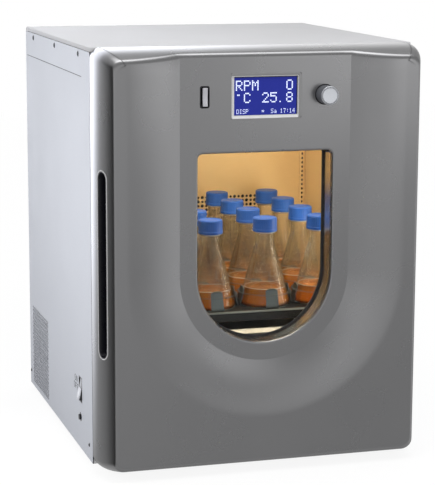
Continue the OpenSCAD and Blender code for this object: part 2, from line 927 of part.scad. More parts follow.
module drive_belt() {
    color("black") placed() along_z(belt_z - belt_w / 2, belt_z + belt_w / 2) difference() {
        loop_outline(0.3 + belt_t);
        loop_outline(0.3);
    }
}

// Platform

// Places of the eccentric pins, which the platform's bearings follow
module at_pins() {
    translate([main_pos.x, main_pos.y + orbit_r]) children();
    for (s = [-1, 1])
        translate([s * idler_pos.x, idler_pos.y + orbit_r]) children();
}

screw_pitch = 2 * flask_pitch;
sub_rim = 25;
sub_corner_r = 20;

// Places of the four platform screws
module at_platform_screws() {
    for (sx = [-1, 1], sy = [-1, 1])
        translate([sx * screw_pitch / 2, platform_y + sy * screw_pitch / 2]) children();
}

module subplatform() {
    hub_r = pin_r + bearing_wall;
    color("lightslategray") placed() difference() {
        union() {
            along_z(sub_top - sub_t, sub_top) translate([0, platform_y])
                rounded_rect(screw_pitch + 2 * sub_rim, screw_pitch + 2 * sub_rim, sub_corner_r);
            at_pins() along_z(hub_low, sub_top - over) circle(hub_r + 6);
        }
        at_pins() along_z(hub_low - over, sub_top + over) circle(hub_r);
        at_platform_screws() along_z(sub_top - sub_t - over, sub_top + over)
            circle(4 + seat_gap);
    }
}

module platform_bearings() {
    color("silver") placed() at_pins() along_z(hub_low + 2, sub_top - 3) difference() {
        circle(pin_r + bearing_wall - seat_gap / 3);
        circle(pin_r + turn_fit);
    }
}

module platform() {
    color("dimgray") placed() translate([0, platform_y, 0]) difference() {
        along_z(platform_low, platform_top) rounded_rect(platform_w, platform_d, 6);
        along_z(platform_low - over, sub_top)
            square([platform_w - 2 * skirt_t, platform_d - 2 * skirt_t], center = true);
        translate([0, -platform_y, 0]) at_platform_screws()
            along_z(sub_top - over, platform_top + over) circle(4 + seat_gap);
        for (sx = [-1, 1], sy = [-1, 1])
            translate([
                sx * (platform_w / 2 - corner_hole_inset),
                sy * (platform_d / 2 - corner_hole_inset), sub_top - over
            ])
                cylinder(h = platform_t + 2 * over, r = corner_hole_r);
    }
}

module platform_screws() {
    color("gainsboro") placed() at_platform_screws() {
        along_z(sub_top - sub_t, platform_top + seat_gap + over) circle(4);
        along_z(platform_top + seat_gap, platform_top + 7) difference() {
            circle(9);
            circle(3, $fn = 6);
        }
    }
}

// Places of the flasks along one side of the platform, from its middle: as many as fit, spread
// so that the outer clamps stay at its edges
function flask_line(length) =
    let (
        room = length - flask_pitch,
        gaps = floor(room / flask_pitch + 0.01)
    )
    [for (i = [0 : gaps]) room * (i / gaps - 0.5)];

module at_flasks() {
    for (x = flask_line(platform_w), y = flask_line(platform_d))
        translate([x, platform_y + y, 0]) children();
}

// One spring leg of a clamp, drawn in (r, z) from the clamp's base
module clamp_leg() {
    knee = foot_chamfer;
    rotate([90, 0, 0]) translate([0, 0, -leg_w / 2]) linear_extrude(leg_w)
        polygon([
            [leg_r - 6, 0], [leg_r + clamp_t, 0], [leg_r + clamp_t, knee],
            [leg_lean + clamp_t, leg_h], [leg_lean, leg_h], [leg_r, knee],
            [leg_r, clamp_t], [leg_r - 6, clamp_t]
        ]);
}

module flask_clamps() {
    ring_z = 0.7 * leg_h;
    side_r = leg_r + clamp_t - (leg_r - leg_lean) * (ring_z - foot_chamfer) / (leg_h - foot_chamfer);
    ring_r = sqrt(side_r * side_r + leg_w * leg_w / 4) + ring_wire_r + seat_gap;
    color("gray") placed() at_flasks() translate([0, 0, platform_top]) {
        cylinder(h = clamp_t, r = leg_r - 4);
        for (a = [0 : 90 : 270])
            rotate(a) clamp_leg();
        translate([0, 0, ring_z]) rotate_extrude() translate([ring_r, 0]) circle(ring_wire_r);
    }
}

// Radius of the flask's outside at a height on its cone
function cone_r(z) = flask_r - cone_fall * (z - foot_chamfer);

module flask() {
    rotate_extrude() polygon([
        [0, 0], [flask_r - foot_chamfer, 0], [flask_r - 1.5, 2], [flask_r, foot_chamfer],
        [neck_r, cone_h], [neck_r, rim_z], [neck_r - glass_t, rim_z],
        [neck_r - glass_t, cone_h], [flask_r - glass_t, foot_chamfer],
        [flask_r - foot_chamfer, glass_t], [0, glass_t]
    ]);
}

module flasks() {
    color([0.85, 0.9, 0.9, 0.4]) placed() at_flasks()
        translate([0, 0, flask_z + seat_gap]) flask();
}

module flask_caps() {
    color("royalblue") placed() at_flasks()
        translate([0, 0, flask_z + seat_gap + flask_h - cap_h]) difference() {
            cylinder(h = cap_h, r = cap_r);
            translate([0, 0, -over]) cylinder(h = cap_h - cap_wall + over, r = neck_r + 0.3);
        }
}

module culture_medium() {
    top_r = cone_r(medium_h) - glass_t - seat_gap;
    low_r = flask_r - foot_chamfer - seat_gap;
    color("darkorange") placed() at_flasks() translate([0, 0, flask_z + seat_gap])
        rotate_extrude() polygon([
            [0, glass_t + seat_gap], [low_r, glass_t + seat_gap],
            [flask_r - glass_t - 2 * seat_gap, foot_chamfer],
            [top_r, medium_h], [0, medium_h]
        ]);
}

// Door

// What lies outside one curved side of the door and its front edge, for a door that ends at 0
// and lies at lower values: the side runs straight for side_flat and then bends in by inset
module side_waste(inset, r) {
    run = door_body_t - side_flat;
    arc = arc_radius(run, inset);
    edge_x = sqrt(pow(arc - r, 2) - pow(run - r, 2)) - arc;
    touch = arc / (arc - r);
    touch_x = (edge_x + arc) * touch - arc;
    touch_d = side_flat + (run - r) * touch;
    difference() {
        translate([-inset - 2 * r, side_flat]) square([inset + 2 * r + over, run + over]);
        translate([-arc, side_flat]) circle(arc, $fn = 2 * fine);
    }
    difference() {
        polygon([
            [edge_x, door_body_t - r], [edge_x, door_body_t + over], [over, door_body_t + over],
            [over, touch_d], [touch_x, touch_d]
        ]);
        translate([edge_x, door_body_t - r]) circle(r);
    }
}

// Section through the door from low to high, with depth growing from its back to its front
module door_section(low, high, low_inset, high_inset, r) {
    difference() {
        translate([low, 0]) square([high - low, door_body_t]);
        translate([high, 0]) side_waste(high_inset, r);
        translate([low, 0]) mirror([1, 0]) side_waste(low_inset, r);
    }
}

// The door's outer body before anything is cut into it
module door_body() {
    intersection() {
        along_z(0, cabinet_h) translate([0, -door_gap]) mirror([0, 1])
            door_section(-half_w, half_w, side_inset, side_inset, edge_r);
        along_x(-half_w, half_w) translate([-door_gap, 0]) rotate(90)
            door_section(0, cabinet_h, bottom_inset, top_inset, lip_r);
        along_y(-door_t, -door_gap) translate([0, cabinet_h / 2])
            rounded_rect(cabinet_w + 2 * corner_out, cabinet_h + 2 * corner_out, corner_r);
    }
}

// Half section of the sunk panel and its slope: distance from the middle, depth from the front
module recess_section() {
    chord = [slope_hw - recess_hw, recess_depth];
    fall = atan2(chord.y, chord.x);
    arc = norm(chord) / (2 * sin(fall - slope_start));
    difference() {
        polygon([
            [0, -over], [slope_hw, -over], [slope_hw, 0],
            [recess_hw, recess_depth], [0, recess_depth]
        ]);
        translate([slope_hw + arc * sin(slope_start), arc * cos(slope_start)])
            circle(arc, $fn = 3 * fine);
    }
}

// The sunk panel with its slope: round below round_z and open at the door's top
module recess() {
    translate([0, -door_t, 0]) {
        along_z(round_z, cabinet_h + over) {
            recess_section();
            mirror([1, 0]) recess_section();
        }
        translate([0, 0, round_z]) rotate([-90, 0, 0]) rotate_extrude($fn = fine)
            recess_section();
    }
}

// What the rounded lip of the sunk panel's top edge leaves out
module recess_lip() {
    lip_z = cabinet_h - arc_radius(door_body_t - side_flat, top_inset)
        + sqrt(pow(arc_radius(door_body_t - side_flat, top_inset) - lip_r, 2)
            - pow(-panel_y - door_gap - side_flat - lip_r, 2));
    along_x(-recess_hw, recess_hw) difference() {
        translate([panel_y - over, lip_z]) square([lip_r + over, cabinet_h - lip_z]);
        translate([panel_y + lip_r, lip_z]) circle(lip_r);
    }
}

module handle_outline(grow) {
    translate([-handle_y, handle_z]) round_slot(handle_w + 2 * grow, handle_len + 2 * grow);
}

// What the rounding of the door's rear edge about the hinge axis leaves out
module hinge_edge() {
    along_z(-over, cabinet_h + over) difference() {
        translate([hinge_x, hinge_y]) square(hinge_inset + over);
        translate([hinge_x, hinge_y]) circle(hinge_inset);
    }
}

module hinge_slots() {
    for (z = [hinge_low_z, hinge_high_z]) {
        block(
            [half_w - 2 * hinge_inset - move_gap, hinge_y - hinge_slot, z - hinge_arm_t / 2 - move_gap],
            [half_w + over, over - door_gap, z + hinge_arm_t / 2 + move_gap]
        );
        translate([hinge_x, hinge_y, z])
            cylinder(h = hinge_pin_len + 2 * seat_gap, r = hinge_pin_r + seat_gap / 3, center = true);
    }
}

// Places of the posts that carry the control board, from the controls' middle
post_r = 4;
post_x = board_w / 2 - 3 * post_r;
post_high = board_h / 2 - board_drop - 2 * post_r;
post_low = -board_h / 2 - board_drop + 2 * post_r;
board_posts = [for (s = [-1, 1], p = [[post_x, post_high], [0.6 * post_x, post_low]]) [s * p.x, p.y]];

module door_shell() {
    color("gray") placed() {
        difference() {
            door_body();
            hinge_edge();
            recess();
            recess_lip();
            along_y(hollow_y, 0) translate([0, cabinet_h / 2])
                rounded_rect(2 * hollow_hw, cabinet_h - 2 * hollow_rim, hollow_r);
            along_y(liner_y - seat_gap, 0) translate([0, cabinet_h / 2])
                rounded_rect(2 * liner_hw, cabinet_h - hollow_rim, hollow_r);
            along_y(panel_y - over, 0) grown_window(frame_wall);
            along_x(-half_w - over, -half_w + handle_depth) handle_outline(0);
            hinge_slots();
            along_y(panel_y - over, 0) translate([0, control_z])
                square([
                    display_w + 2 * (bezel_w + seat_gap), display_h + 2 * (bezel_w + seat_gap)
                ], center = true);
            along_y(panel_y - over, 0) translate([-rocker_x, control_z])
                square([rocker_w + 2 * seat_gap, rocker_h + 2 * seat_gap], center = true);
            along_y(panel_y - over, panel_y + knob_pocket) translate([knob_x, control_z])
                circle(knob_r + 1);
            along_y(panel_y - over, 0) translate([knob_x, control_z]) circle(encoder_r + 2);
        }
        for (p = board_posts)
            along_y(hollow_y - over, board_y - seat_gap)
                translate([p.x, control_z + p.y]) circle(post_r);
    }
}

module door_core() {
    color("khaki") placed() along_y(hollow_y + slab_gap, liner_y - slab_gap) difference() {
        intersection() {
            translate([0, cabinet_h / 2]) rounded_rect(
                2 * (hollow_hw - slab_gap), cabinet_h - 2 * (hollow_rim + slab_gap), hollow_r
            );
            translate([-hollow_hw, 0]) square([2 * hollow_hw, core_top]);
        }
        grown_window(frame_flange + frame_wall);
    }
}

module door_liner() {
    color("silver") placed() along_y(liner_y, -door_gap) difference() {
        translate([0, cabinet_h / 2])
            rounded_rect(
                2 * (liner_hw - seat_gap), cabinet_h - hollow_rim - 2 * seat_gap, hollow_r
            );
        grown_window(frame_flange / 2);
    }
}

module window_frame() {
    color("lightgray") placed() {
        along_y(panel_y - 1, pane_y - seat_gap) difference() {
            grown_window(frame_wall - seat_gap);
            grown_window(0);
        }
        along_y(pane_y - seat_gap - 3, pane_y - seat_gap) difference() {
            grown_window(frame_flange);
            grown_window(0);
        }
    }
}

module window_panes() {
    color([0.8, 0.9, 0.95, 0.3]) placed() {
        along_y(pane_y, pane_y + pane_t) grown_window(frame_flange);
        along_y(liner_y - seat_gap - pane_t, liner_y - seat_gap) grown_window(frame_flange);
    }
}

module window_gasket() {
    color("black") placed() {
        along_y(pane_y - seat_gap - 3, pane_y - seat_gap) difference() {
            grown_window(-seat_gap);
            grown_window(-gasket_w);
        }
        along_y(pane_y + pane_t + seat_gap, liner_y - pane_t - 2 * seat_gap) difference() {
            grown_window(frame_flange);
            grown_window(frame_flange / 3);
        }
    }
}

module door_seal() {
    inner_w = 2 * (mouth_hw + seal_offset);
    inner_h = mouth_high - mouth_low + 2 * seal_offset;
    color("dimgray") placed() along_y(-door_gap, seal_y)
        translate([0, (mouth_low + mouth_high) / 2]) difference() {
            rounded_rect(inner_w + 2 * seal_w, inner_h + 2 * seal_w, mouth_corner_r + seal_w / 2);
            rounded_rect(inner_w, inner_h, mouth_corner_r);
        }
}

module handle_cup() {
    color("black") placed() difference() {
        intersection() {
            door_body();
            along_x(-half_w - over, -half_w + handle_depth - seat_gap) handle_outline(-seat_gap);
        }
        along_x(-half_w - over, -half_w + handle_depth - cup_wall) handle_outline(-cup_wall);
    }
}

module hinge_pins() {
    color("silver") placed() for (z = [hinge_low_z, hinge_high_z])
        translate([hinge_x, hinge_y, z])
            cylinder(h = hinge_pin_len, r = hinge_pin_r, center = true);
}

// Controls

module display_bezel() {
    color("darkgray") placed() translate([0, 0, control_z]) difference() {
        along_y(panel_y - 0.6, hollow_y)
            square([display_w + 2 * bezel_w, display_h + 2 * bezel_w], center = true);
        along_y(panel_y - over, hollow_y + over)
            square([display_w, display_h], center = true);
        along_y(panel_y + 4, hollow_y + over)
            square([display_w + bezel_w, display_h + bezel_w], center = true);
    }
}

module lcd_panel() {
    color("royalblue") placed() translate([0, 0, control_z])
        along_y(panel_y + 4 + seat_gap, board_y - 2)
            square([display_w + bezel_w - 2 * seat_gap, display_h + bezel_w - 2 * seat_gap],
                center = true);
}

module control_board() {
    color("darkgreen") placed() translate([0, 0, control_z]) {
        along_y(board_y, board_y + board_t) difference() {
            translate([0, -board_drop]) square([board_w, board_h], center = true);
            translate([-rocker_x, 0])
                square([rocker_w + 2 * move_gap, rocker_h + 2 * move_gap], center = true);
        }
        difference() {
            along_y(hollow_y + 1, board_y) translate([knob_x, 0])
                square(encoder_body_w, center = true);
            along_y(hollow_y, board_y - 1) translate([knob_x, 0])
                circle(encoder_r + turn_fit);
        }
    }
}

module encoder_shaft() {
    color("silver") placed() translate([knob_x, 0, control_z])
        along_y(encoder_tip_y, board_y - 1.5) circle(encoder_r);
}

module control_knob() {
    color("lightgray") placed() translate([knob_x, knob_back_y, control_z])
        rotate([90, 0, 0]) difference() {
            rotate_extrude($fn = fine) polygon([
                [0, 0], [knob_r, 0], [knob_r - 0.6, knob_len - 3 + knob_travel],
                [knob_r - 3, knob_len + knob_travel], [0, knob_len + knob_travel]
            ]);
            translate([0, 0, -over])
                cylinder(h = knob_back_y - encoder_tip_y + 2 * knob_travel + over,
                    r = encoder_r + turn_fit);
        }
}

module start_stop_housing() {
    depth = 18;
    color("dimgray") placed() translate([-rocker_x, 0, control_z]) difference() {
        along_y(panel_y - 0.5, panel_y + depth) square([rocker_w, rocker_h], center = true);
        along_y(panel_y - over, panel_y + depth - 2)
            square([rocker_w - 2 * rocker_wall, rocker_h - 2 * rocker_wall], center = true);
        translate([0, rocker_pin_y, 0]) rotate([0, 90, 0])
            cylinder(h = rocker_w + 2, r = rocker_pin_r + turn_fit, center = true);
    }
}

module start_stop_rocker() {
    tip = 8.5;
    half_h = rocker_h / 2 - rocker_wall - move_gap - tip * sin(rocker_tilt);
    half_rocker_w = rocker_w / 2 - rocker_wall - 4 * move_gap;
    color("gainsboro") placed() translate([-rocker_x, rocker_pin_y, control_z]) {
        along_x(-half_rocker_w, half_rocker_w) polygon([
            [2.5 - tip, 0], [-tip, half_h], [1, half_h], [4, half_h * 0.6],
            [4, -half_h * 0.6], [1, -half_h], [-tip, -half_h]
        ]);
        rotate([0, 90, 0])
            cylinder(h = rocker_w - 1, r = rocker_pin_r, center = true);
    }
}

// Power entry

module power_inlet() {
    body_w = inlet_w + 6;
    body_h = inlet_h + 6;
    color("black") placed() translate([inlet_x, 0, inlet_z]) {
        difference() {
            union() {
                along_y(rear_inside - inlet_depth - 4, rear_inside - seat_gap)
                    rounded_rect(body_w, body_h, 3);
                along_y(rear_inside - 4, cabinet_d)
                    rounded_rect(inlet_w - 2 * seat_gap, inlet_h - 2 * seat_gap, 2);
            }
            along_y(cabinet_d - inlet_depth, cabinet_d + over)
                rounded_rect(inlet_w - 3, inlet_h - 3, 1.5);
        }
        for (p = [[-7, -2], [7, -2], [0, 2]])
            along_y(cabinet_d - inlet_depth - over, cabinet_d - inlet_depth + inlet_pin_len)
                translate(p) square([2, 4], center = true);
    }
}

supply_gap = 16;
supply_plate_gap = 14.7;
supply_y = 165;
supply_w = inner_hw + plate_left - supply_gap - supply_plate_gap;
supply_d = 170;
supply_h = 95;
supply_rim = 10;
supply_slot = 6;

module power_supply() {
    low = [-inner_hw + supply_gap, supply_y, pan_t];
    pitch = 14;
    slots = floor((supply_d - 2 * supply_rim) / pitch);
    color("silver") placed() difference() {
        block(low, low + [supply_w, supply_d, supply_h]);
        for (i = [0 : slots - 1])
            block(
                low + [supply_rim, 2 * supply_rim + i * pitch, supply_h - panel_t],
                low + [supply_w - supply_rim, 2 * supply_rim + supply_slot + i * pitch, supply_h + over]
            );
    }
}

module power_switch_housing() {
    depth = 28;
    color("black") placed() difference() {
        along_x(-half_w, -half_w + depth) translate([power_y, power_z])
            square([power_w - 2 * seat_gap, power_h - 2 * seat_gap], center = true);
        along_x(-half_w - over, -half_w + depth - 2) translate([power_y, power_z])
            square([power_w - 2 * power_wall, power_h - 2 * power_wall], center = true);
        translate([power_pin_x, power_y, power_z]) rotate([90, 0, 0])
            cylinder(h = power_w + 2, r = power_pin_r + turn_fit, center = true);
    }
}

module power_rocker() {
    tip = 12;
    half_h = power_h / 2 - power_wall - move_gap - tip * sin(power_tilt);
    half_rocker_w = power_w / 2 - power_wall - 2 * move_gap;
    color("silver") placed() translate([power_pin_x, power_y, power_z]) {
        rotate([0, power_tilt, 0]) along_y(-half_rocker_w, half_rocker_w) polygon([
            [1.5 - tip, 0], [-tip, half_h], [-1, half_h], [7, half_h * 0.45],
            [7, -half_h * 0.45], [-1, -half_h], [-tip, -half_h]
        ]);
        rotate([90, 0, 0]) cylinder(h = power_w - 2, r = power_pin_r, center = true);
    }
}

module breaker_body() {
    color("dimgray") placed() translate([0, power_y, breaker_z]) difference() {
        union() {
            along_x(-half_w, -half_w + 6) circle(breaker_r - seat_gap);
            along_x(-half_w + panel_t + seat_gap, -half_w + 34) square([26, 26], center = true);
        }
        along_x(-half_w - over, -half_w + 22) circle(reset_r + 0.3);
    }
}

module reset_button() {
    color("whitesmoke") placed() translate([0, power_y, breaker_z])
        along_x(-half_w - reset_proud, -half_w + 22 - reset_travel - move_gap) circle(reset_r);
}

base_pan();
feet();
left_side_panel();
right_side_panel();
top_cover();
rear_panel();
front_frame();
panel_screws();
hinge_brackets();
chamber_floor();
chamber_side_walls();
chamber_ceiling();
chamber_rear_wall();
insulation();
heater_element();
blower_motor();
blower_wheel();
chamber_lamp();
drive_plate();
drive_mounts();
bearing_housings();
shaft_bearings();
main_crankshaft();
main_pulley();
main_counterweight();
idler_crank_left();
idler_crank_right();
drive_motor();
motor_pulley();
drive_belt();
subplatform();
platform_bearings();
platform();
platform_screws();
flask_clamps();
flasks();
flask_caps();
culture_medium();
door_shell();
door_core();
door_liner();
window_frame();
window_panes();
window_gasket();
door_seal();
handle_cup();
hinge_pins();
display_bezel();
lcd_panel();
control_board();
encoder_shaft();
control_knob();
start_stop_housing();
start_stop_rocker();
power_inlet();
power_supply();
power_switch_housing();
power_rocker();
breaker_body();
reset_button();
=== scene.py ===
import math

import bmesh
import bpy
from mathutils import Matrix, Vector


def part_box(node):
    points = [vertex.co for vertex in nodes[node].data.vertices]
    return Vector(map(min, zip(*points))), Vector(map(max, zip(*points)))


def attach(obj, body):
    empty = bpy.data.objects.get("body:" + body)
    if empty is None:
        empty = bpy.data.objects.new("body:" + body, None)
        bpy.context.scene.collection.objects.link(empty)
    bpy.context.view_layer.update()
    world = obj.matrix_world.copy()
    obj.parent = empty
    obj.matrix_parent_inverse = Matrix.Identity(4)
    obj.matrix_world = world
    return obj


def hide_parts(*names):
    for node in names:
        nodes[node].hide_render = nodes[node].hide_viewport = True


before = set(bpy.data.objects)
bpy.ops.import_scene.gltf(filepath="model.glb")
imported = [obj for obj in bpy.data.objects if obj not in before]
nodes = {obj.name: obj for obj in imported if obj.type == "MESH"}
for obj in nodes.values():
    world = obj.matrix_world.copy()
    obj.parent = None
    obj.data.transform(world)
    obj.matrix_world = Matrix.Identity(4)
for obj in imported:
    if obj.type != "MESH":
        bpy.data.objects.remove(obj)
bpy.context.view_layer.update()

# Lines of the object that most places are measured from: the cabinet's front plane, its underside
# and the middle of its width. A place is written in millimetres from them, and at() puts it in the
# frame.
MM = 0.001
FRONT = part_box("front_frame")[0].y
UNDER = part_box("base_pan")[0].z


def at(x, y, z):
    """A point given in millimetres from the cabinet's corner lines, in the frame."""
    return Vector((x * MM, FRONT + y * MM, UNDER + z * MM))


def size_mm(node):
    """Lowest and highest corner of a node, in millimetres from the cabinet's corner lines."""
    return [Vector((p.x / MM, (p.y - FRONT) / MM, (p.z - UNDER) / MM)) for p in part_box(node)]


def mid_half(low, high):
    """Centre and half size of a box."""
    return (low + high) / 2, (high - low) / 2


# Sizes of the door, read from the solids
shell_low, shell_high = size_mm("door_shell")
HALF_W, DOOR_H = shell_high.x, shell_high.z
DOOR_BACK, DOOR_T = -shell_high.y, -shell_low.y
BODY_T = DOOR_T - DOOR_BACK
bezel_low, bezel_high = size_mm("display_bezel")
bezel_mid, bezel_half = mid_half(bezel_low, bezel_high)
CONTROL_Z = bezel_mid.z
frame_low, frame_high = size_mm("window_frame")
FLANGE = 12
WINDOW_HW = frame_high.x - FLANGE
WINDOW_TOP = frame_high.z - FLANGE
ROUND_Z = frame_low.z + frame_high.x
PANEL_Y = bezel_low.y + 0.6
PANE_Y = frame_high.y + 0.1
RECESS_DEPTH = DOOR_T + PANEL_Y

# Sizes of the door that its box doesn't give
SIDE_FLAT = 10
SIDE_INSET = 22
TOP_INSET = 19
BOTTOM_INSET = 9
EDGE_R = 6
LIP_R = 10
CORNER_R = 20
PANEL_HW = 170
SLOPE_HW = 275
SLOPE_START = math.radians(4)
SUPPORT = 1.5
HOLLOW_Y = PANEL_Y + 8
HOLLOW_HW = 262
HOLLOW_MARGIN = 38
LIP_EDGE = 4.5


# Outlines


def rectangle(x0, z0, x1, z1):
    """Outline of a rectangle between two corners."""
    return [(x0, z0), (x1, z0), (x1, z1), (x0, z1)]


def arc(cx, cz, r, first, last, steps):
    """Points on an arc between two angles in degrees, with both ends."""
    angles = [math.radians(first + (last - first) * i / steps) for i in range(steps + 1)]
    return [(cx + r * math.cos(a), cz + r * math.sin(a)) for a in angles]


def circle(cx, cz, r, steps=64):
    """Points on a whole circle."""
    return arc(cx, cz, r, 0, 360, steps)[:-1]


def rounded(cx, cz, w, h, r, steps=6):
    """Outline of a rectangle with rounded corners about a centre."""
    points = []
    for quarter, (sx, sz) in enumerate([(1, 1), (-1, 1), (-1, -1), (1, -1)]):
        x, z = cx + sx * (w / 2 - r), cz + sz * (h / 2 - r)
        points += arc(x, z, r, 90 * quarter, 90 * quarter + 90, steps)
    return points


def stadium(cy, cz, w, length, steps=16):
    """Outline of an upright slot with round ends."""
    reach = (length - w) / 2
    upper = arc(cy, cz + reach, w / 2, 0, 180, steps)
    return upper + arc(cy, cz - reach, w / 2, 180, 360, steps)


def soft_path(points, radii, steps=5):
    """A polyline whose inner corners are rounded, each by its own radius."""
    path = [tuple(points[0])]
    for a, b, c, r in zip(points, points[1:], points[2:], radii):
        b = Vector(b)
        u, v = (Vector(a) - b).normalized(), (Vector(c) - b).normalized()
        if r == 0:
            path.append(tuple(b))
            continue
        half = u.angle(v) / 2
        centre = b + (u + v).normalized() * (r / math.sin(half))
        start = b + u * (r / math.tan(half)) - centre
        end = b + v * (r / math.tan(half)) - centre
        for i in range(steps + 1):
            path.append(tuple(centre + start.lerp(end, i / steps).normalized() * r))
    path.append(tuple(points[-1]))
    return path


# Meshes


def new_object(name, data):
    """An object with its data, linked into the scene."""
    obj = bpy.data.objects.new(name, data)
    bpy.context.scene.collection.objects.link(obj)
    return obj


def taken_mesh(name, bm):
    """A new mesh with what a bmesh holds, which is freed."""
    mesh = bpy.data.meshes.new(name)
    bm.to_mesh(mesh)
    bm.free()
    return mesh


def shade_smooth(mesh, smooth=True):
    """Smooth or flat shading on all the faces."""
    mesh.polygons.foreach_set("use_smooth", [smooth] * len(mesh.polygons))


def mesh_object(name, verts, faces, smooth=True, closed=True):
    """A new object from points in metres and faces, which look outwards if the mesh is closed."""
    mesh = bpy.data.meshes.new(name)
    mesh.from_pydata([tuple(v) for v in verts], [], faces)
    mesh.validate()
    shade_smooth(mesh, smooth)
    if closed:
        bm = bmesh.new()
        bm.from_mesh(mesh)
        bmesh.ops.recalc_face_normals(bm, faces=bm.faces)
        bm.to_mesh(mesh)
        bm.free()
    return new_object(name, mesh)


def band(n, low, high):
    """Quads between two rings of n points, given by the number of each ring's first point."""
    return [[low + i, low + (i + 1) % n, high + (i + 1) % n, high + i] for i in range(n)]


def loft(name, rings, smooth=True, endless=False):
    """A closed mesh through rings of equally many points, whose ends are filled, or which are
    joined to each other if it is endless."""
    n = len(rings[0])
    starts = [n * k for k in range(len(rings))]
    following = starts[1:] + (starts[:1] if endless else [])
    faces = [face for low, high in zip(starts, following) for face in band(n, low, high)]
    if not endless:
        faces += [list(range(n))[::-1], list(range(starts[-1], starts[-1] + n))]
    return mesh_object(name, [p for ring in rings for p in ring], faces, smooth)


def prism(name, outline, low, high, axis):
    """A closed prism: an outline of (a, b) in millimetres from the corner lines, along an axis."""
    place = {
        "x": lambda a, b, c: at(c, a, b),
        "y": lambda a, b, c: at(a, c, b),
        "z": lambda a, b, c: at(a, b, c),
    }[axis]
    return loft(name, [[place(a, b, c) for a, b in outline] for c in (low, high)], False)


def lathe(name, profile, centre, axis="z", steps=64):
    """A surface of revolution from (radius, height) in millimetres, closed where a radius is 0."""
    turn = {
        "z": lambda r, a, h: Vector((r * math.cos(a), r * math.sin(a), h)),
        "y": lambda r, a, h: Vector((r * math.cos(a), -h, r * math.sin(a))),
        "x": lambda r, a, h: Vector((-h, r * math.cos(a), r * math.sin(a))),
    }[axis]
    verts, faces, rows = [], [], []
    for radius, height in profile:
        count = steps if radius else 1
        rows.append(range(len(verts), len(verts) + count))
        verts += [centre + turn(radius, math.tau * i / steps, height) * MM for i in range(count)]
    for low, high in zip(rows, rows[1:]):
        for i in range(steps):
            corners = ((low, i), (low, i + 1), (high, i + 1), (high, i))
            face = list(dict.fromkeys(row[k % len(row)] for row, k in corners))
            if len(face) > 2:
                faces.append(face)
    return mesh_object(name, verts, faces)


def ribbed(name, profile, centre, ribs, axis="z", per_rib=6):
    """A turned surface whose radius dips between ribs, from (radius, height, dip)."""
    obj = lathe(name, [(r, h) for r, h, _ in profile], centre, axis, ribs * per_rib)
    dips = {(round(r, 4), round(h, 4)): dip for r, h, dip in profile}
    for vertex in obj.data.vertices:
        d = (vertex.co - centre) / MM
        h, a, b = {"z": (d.z, d.x, d.y), "y": (-d.y, d.x, d.z)}[axis]
        r = math.hypot(a, b)
        dip = dips.get((round(r, 4), round(h, 4)), 0)
        if dip:
            wave = 0.5 - 0.5 * math.cos(ribs * math.atan2(b, a))
            scale = 1 - dip * wave / r
            a, b = a * scale, b * scale
            vertex.co = centre + {"z": Vector((a, b, h)), "y": Vector((a, -h, b))}[axis] * MM
    return obj


def merged(name, meshes):
    """One object from several meshes, in the order given."""
    bm = bmesh.new()
    for mesh in meshes:
        bm.from_mesh(mesh)
    made = taken_mesh(name, bm)
    shade_smooth(made)
    return new_object(name, made)


def join(name, parts):
    """One object that takes the place of several."""
    for part in parts:
        part.data.transform(part.matrix_world)
    made = merged(name, [part.data for part in parts])
    for part in parts:
        bpy.data.objects.remove(part)
    return made


def repeat(name, obj, places):
    """One mesh of an object set down at each of several places, given in metres."""
    copies = [obj.data.copy() for _ in places]
    for copy, place in zip(copies, places):
        copy.transform(Matrix.Translation(place))
    made = merged(name, copies)
    for copy in copies:
        bpy.data.meshes.remove(copy)
    bpy.data.objects.remove(obj)
    return made


def sharpen(obj, degrees):
    """Smooth shading that breaks where two faces meet at more than an angle."""
    shade_smooth(obj.data)
    obj.data.set_sharp_from_angle(angle=math.radians(degrees))


def modified(obj, kind, **settings):
    """Replaces the object's mesh by what a modifier makes of it."""
    modifier = obj.modifiers.new(kind, kind)
    for key, value in settings.items():
        setattr(modifier, key, value)
    depsgraph = bpy.context.evaluated_depsgraph_get()
    mesh = bpy.data.meshes.new_from_object(obj.evaluated_get(depsgraph))
    obj.modifiers.clear()
    old = obj.data
    obj.data = mesh
    bpy.data.meshes.remove(old)


def cut(obj, cutters):
    """Cuts closed meshes that don't touch each other out of a closed mesh."""
    tool = join("cutter", cutters)
    modified(obj, "BOOLEAN", operation="DIFFERENCE", solver="EXACT", object=tool)
    bpy.data.objects.remove(tool)


def bevelled(obj, width):
    """Rounds every edge of a mesh by a width in millimetres."""
    angle = math.radians(30)
    modified(
        obj, "BEVEL", width=width * MM, segments=3, limit_method="ANGLE", angle_limit=angle
    )
    sharpen(obj, 35)
    return obj


# Materials


def set_node(tree, made, **values):
    """Each value goes to the socket of that name or, after an i, of that number, or else to a
    setting of the node. An output of another node is linked to the socket."""
    for key, value in values.items():
        name = int(key[1:]) if key[0] == "i" and key[1:].isdigit() else key.replace("_", " ")
        if isinstance(name, str) and name not in made.inputs:
            setattr(made, key, value)
        elif isinstance(value, bpy.types.NodeSocket):
            tree.links.new(value, made.inputs[name])
        else:
            made.inputs[name].default_value = value
    return made


def node(tree, kind, **values):
    """A new shader node with its values and links."""
    return set_node(tree, tree.nodes.new("ShaderNode" + kind), **values)


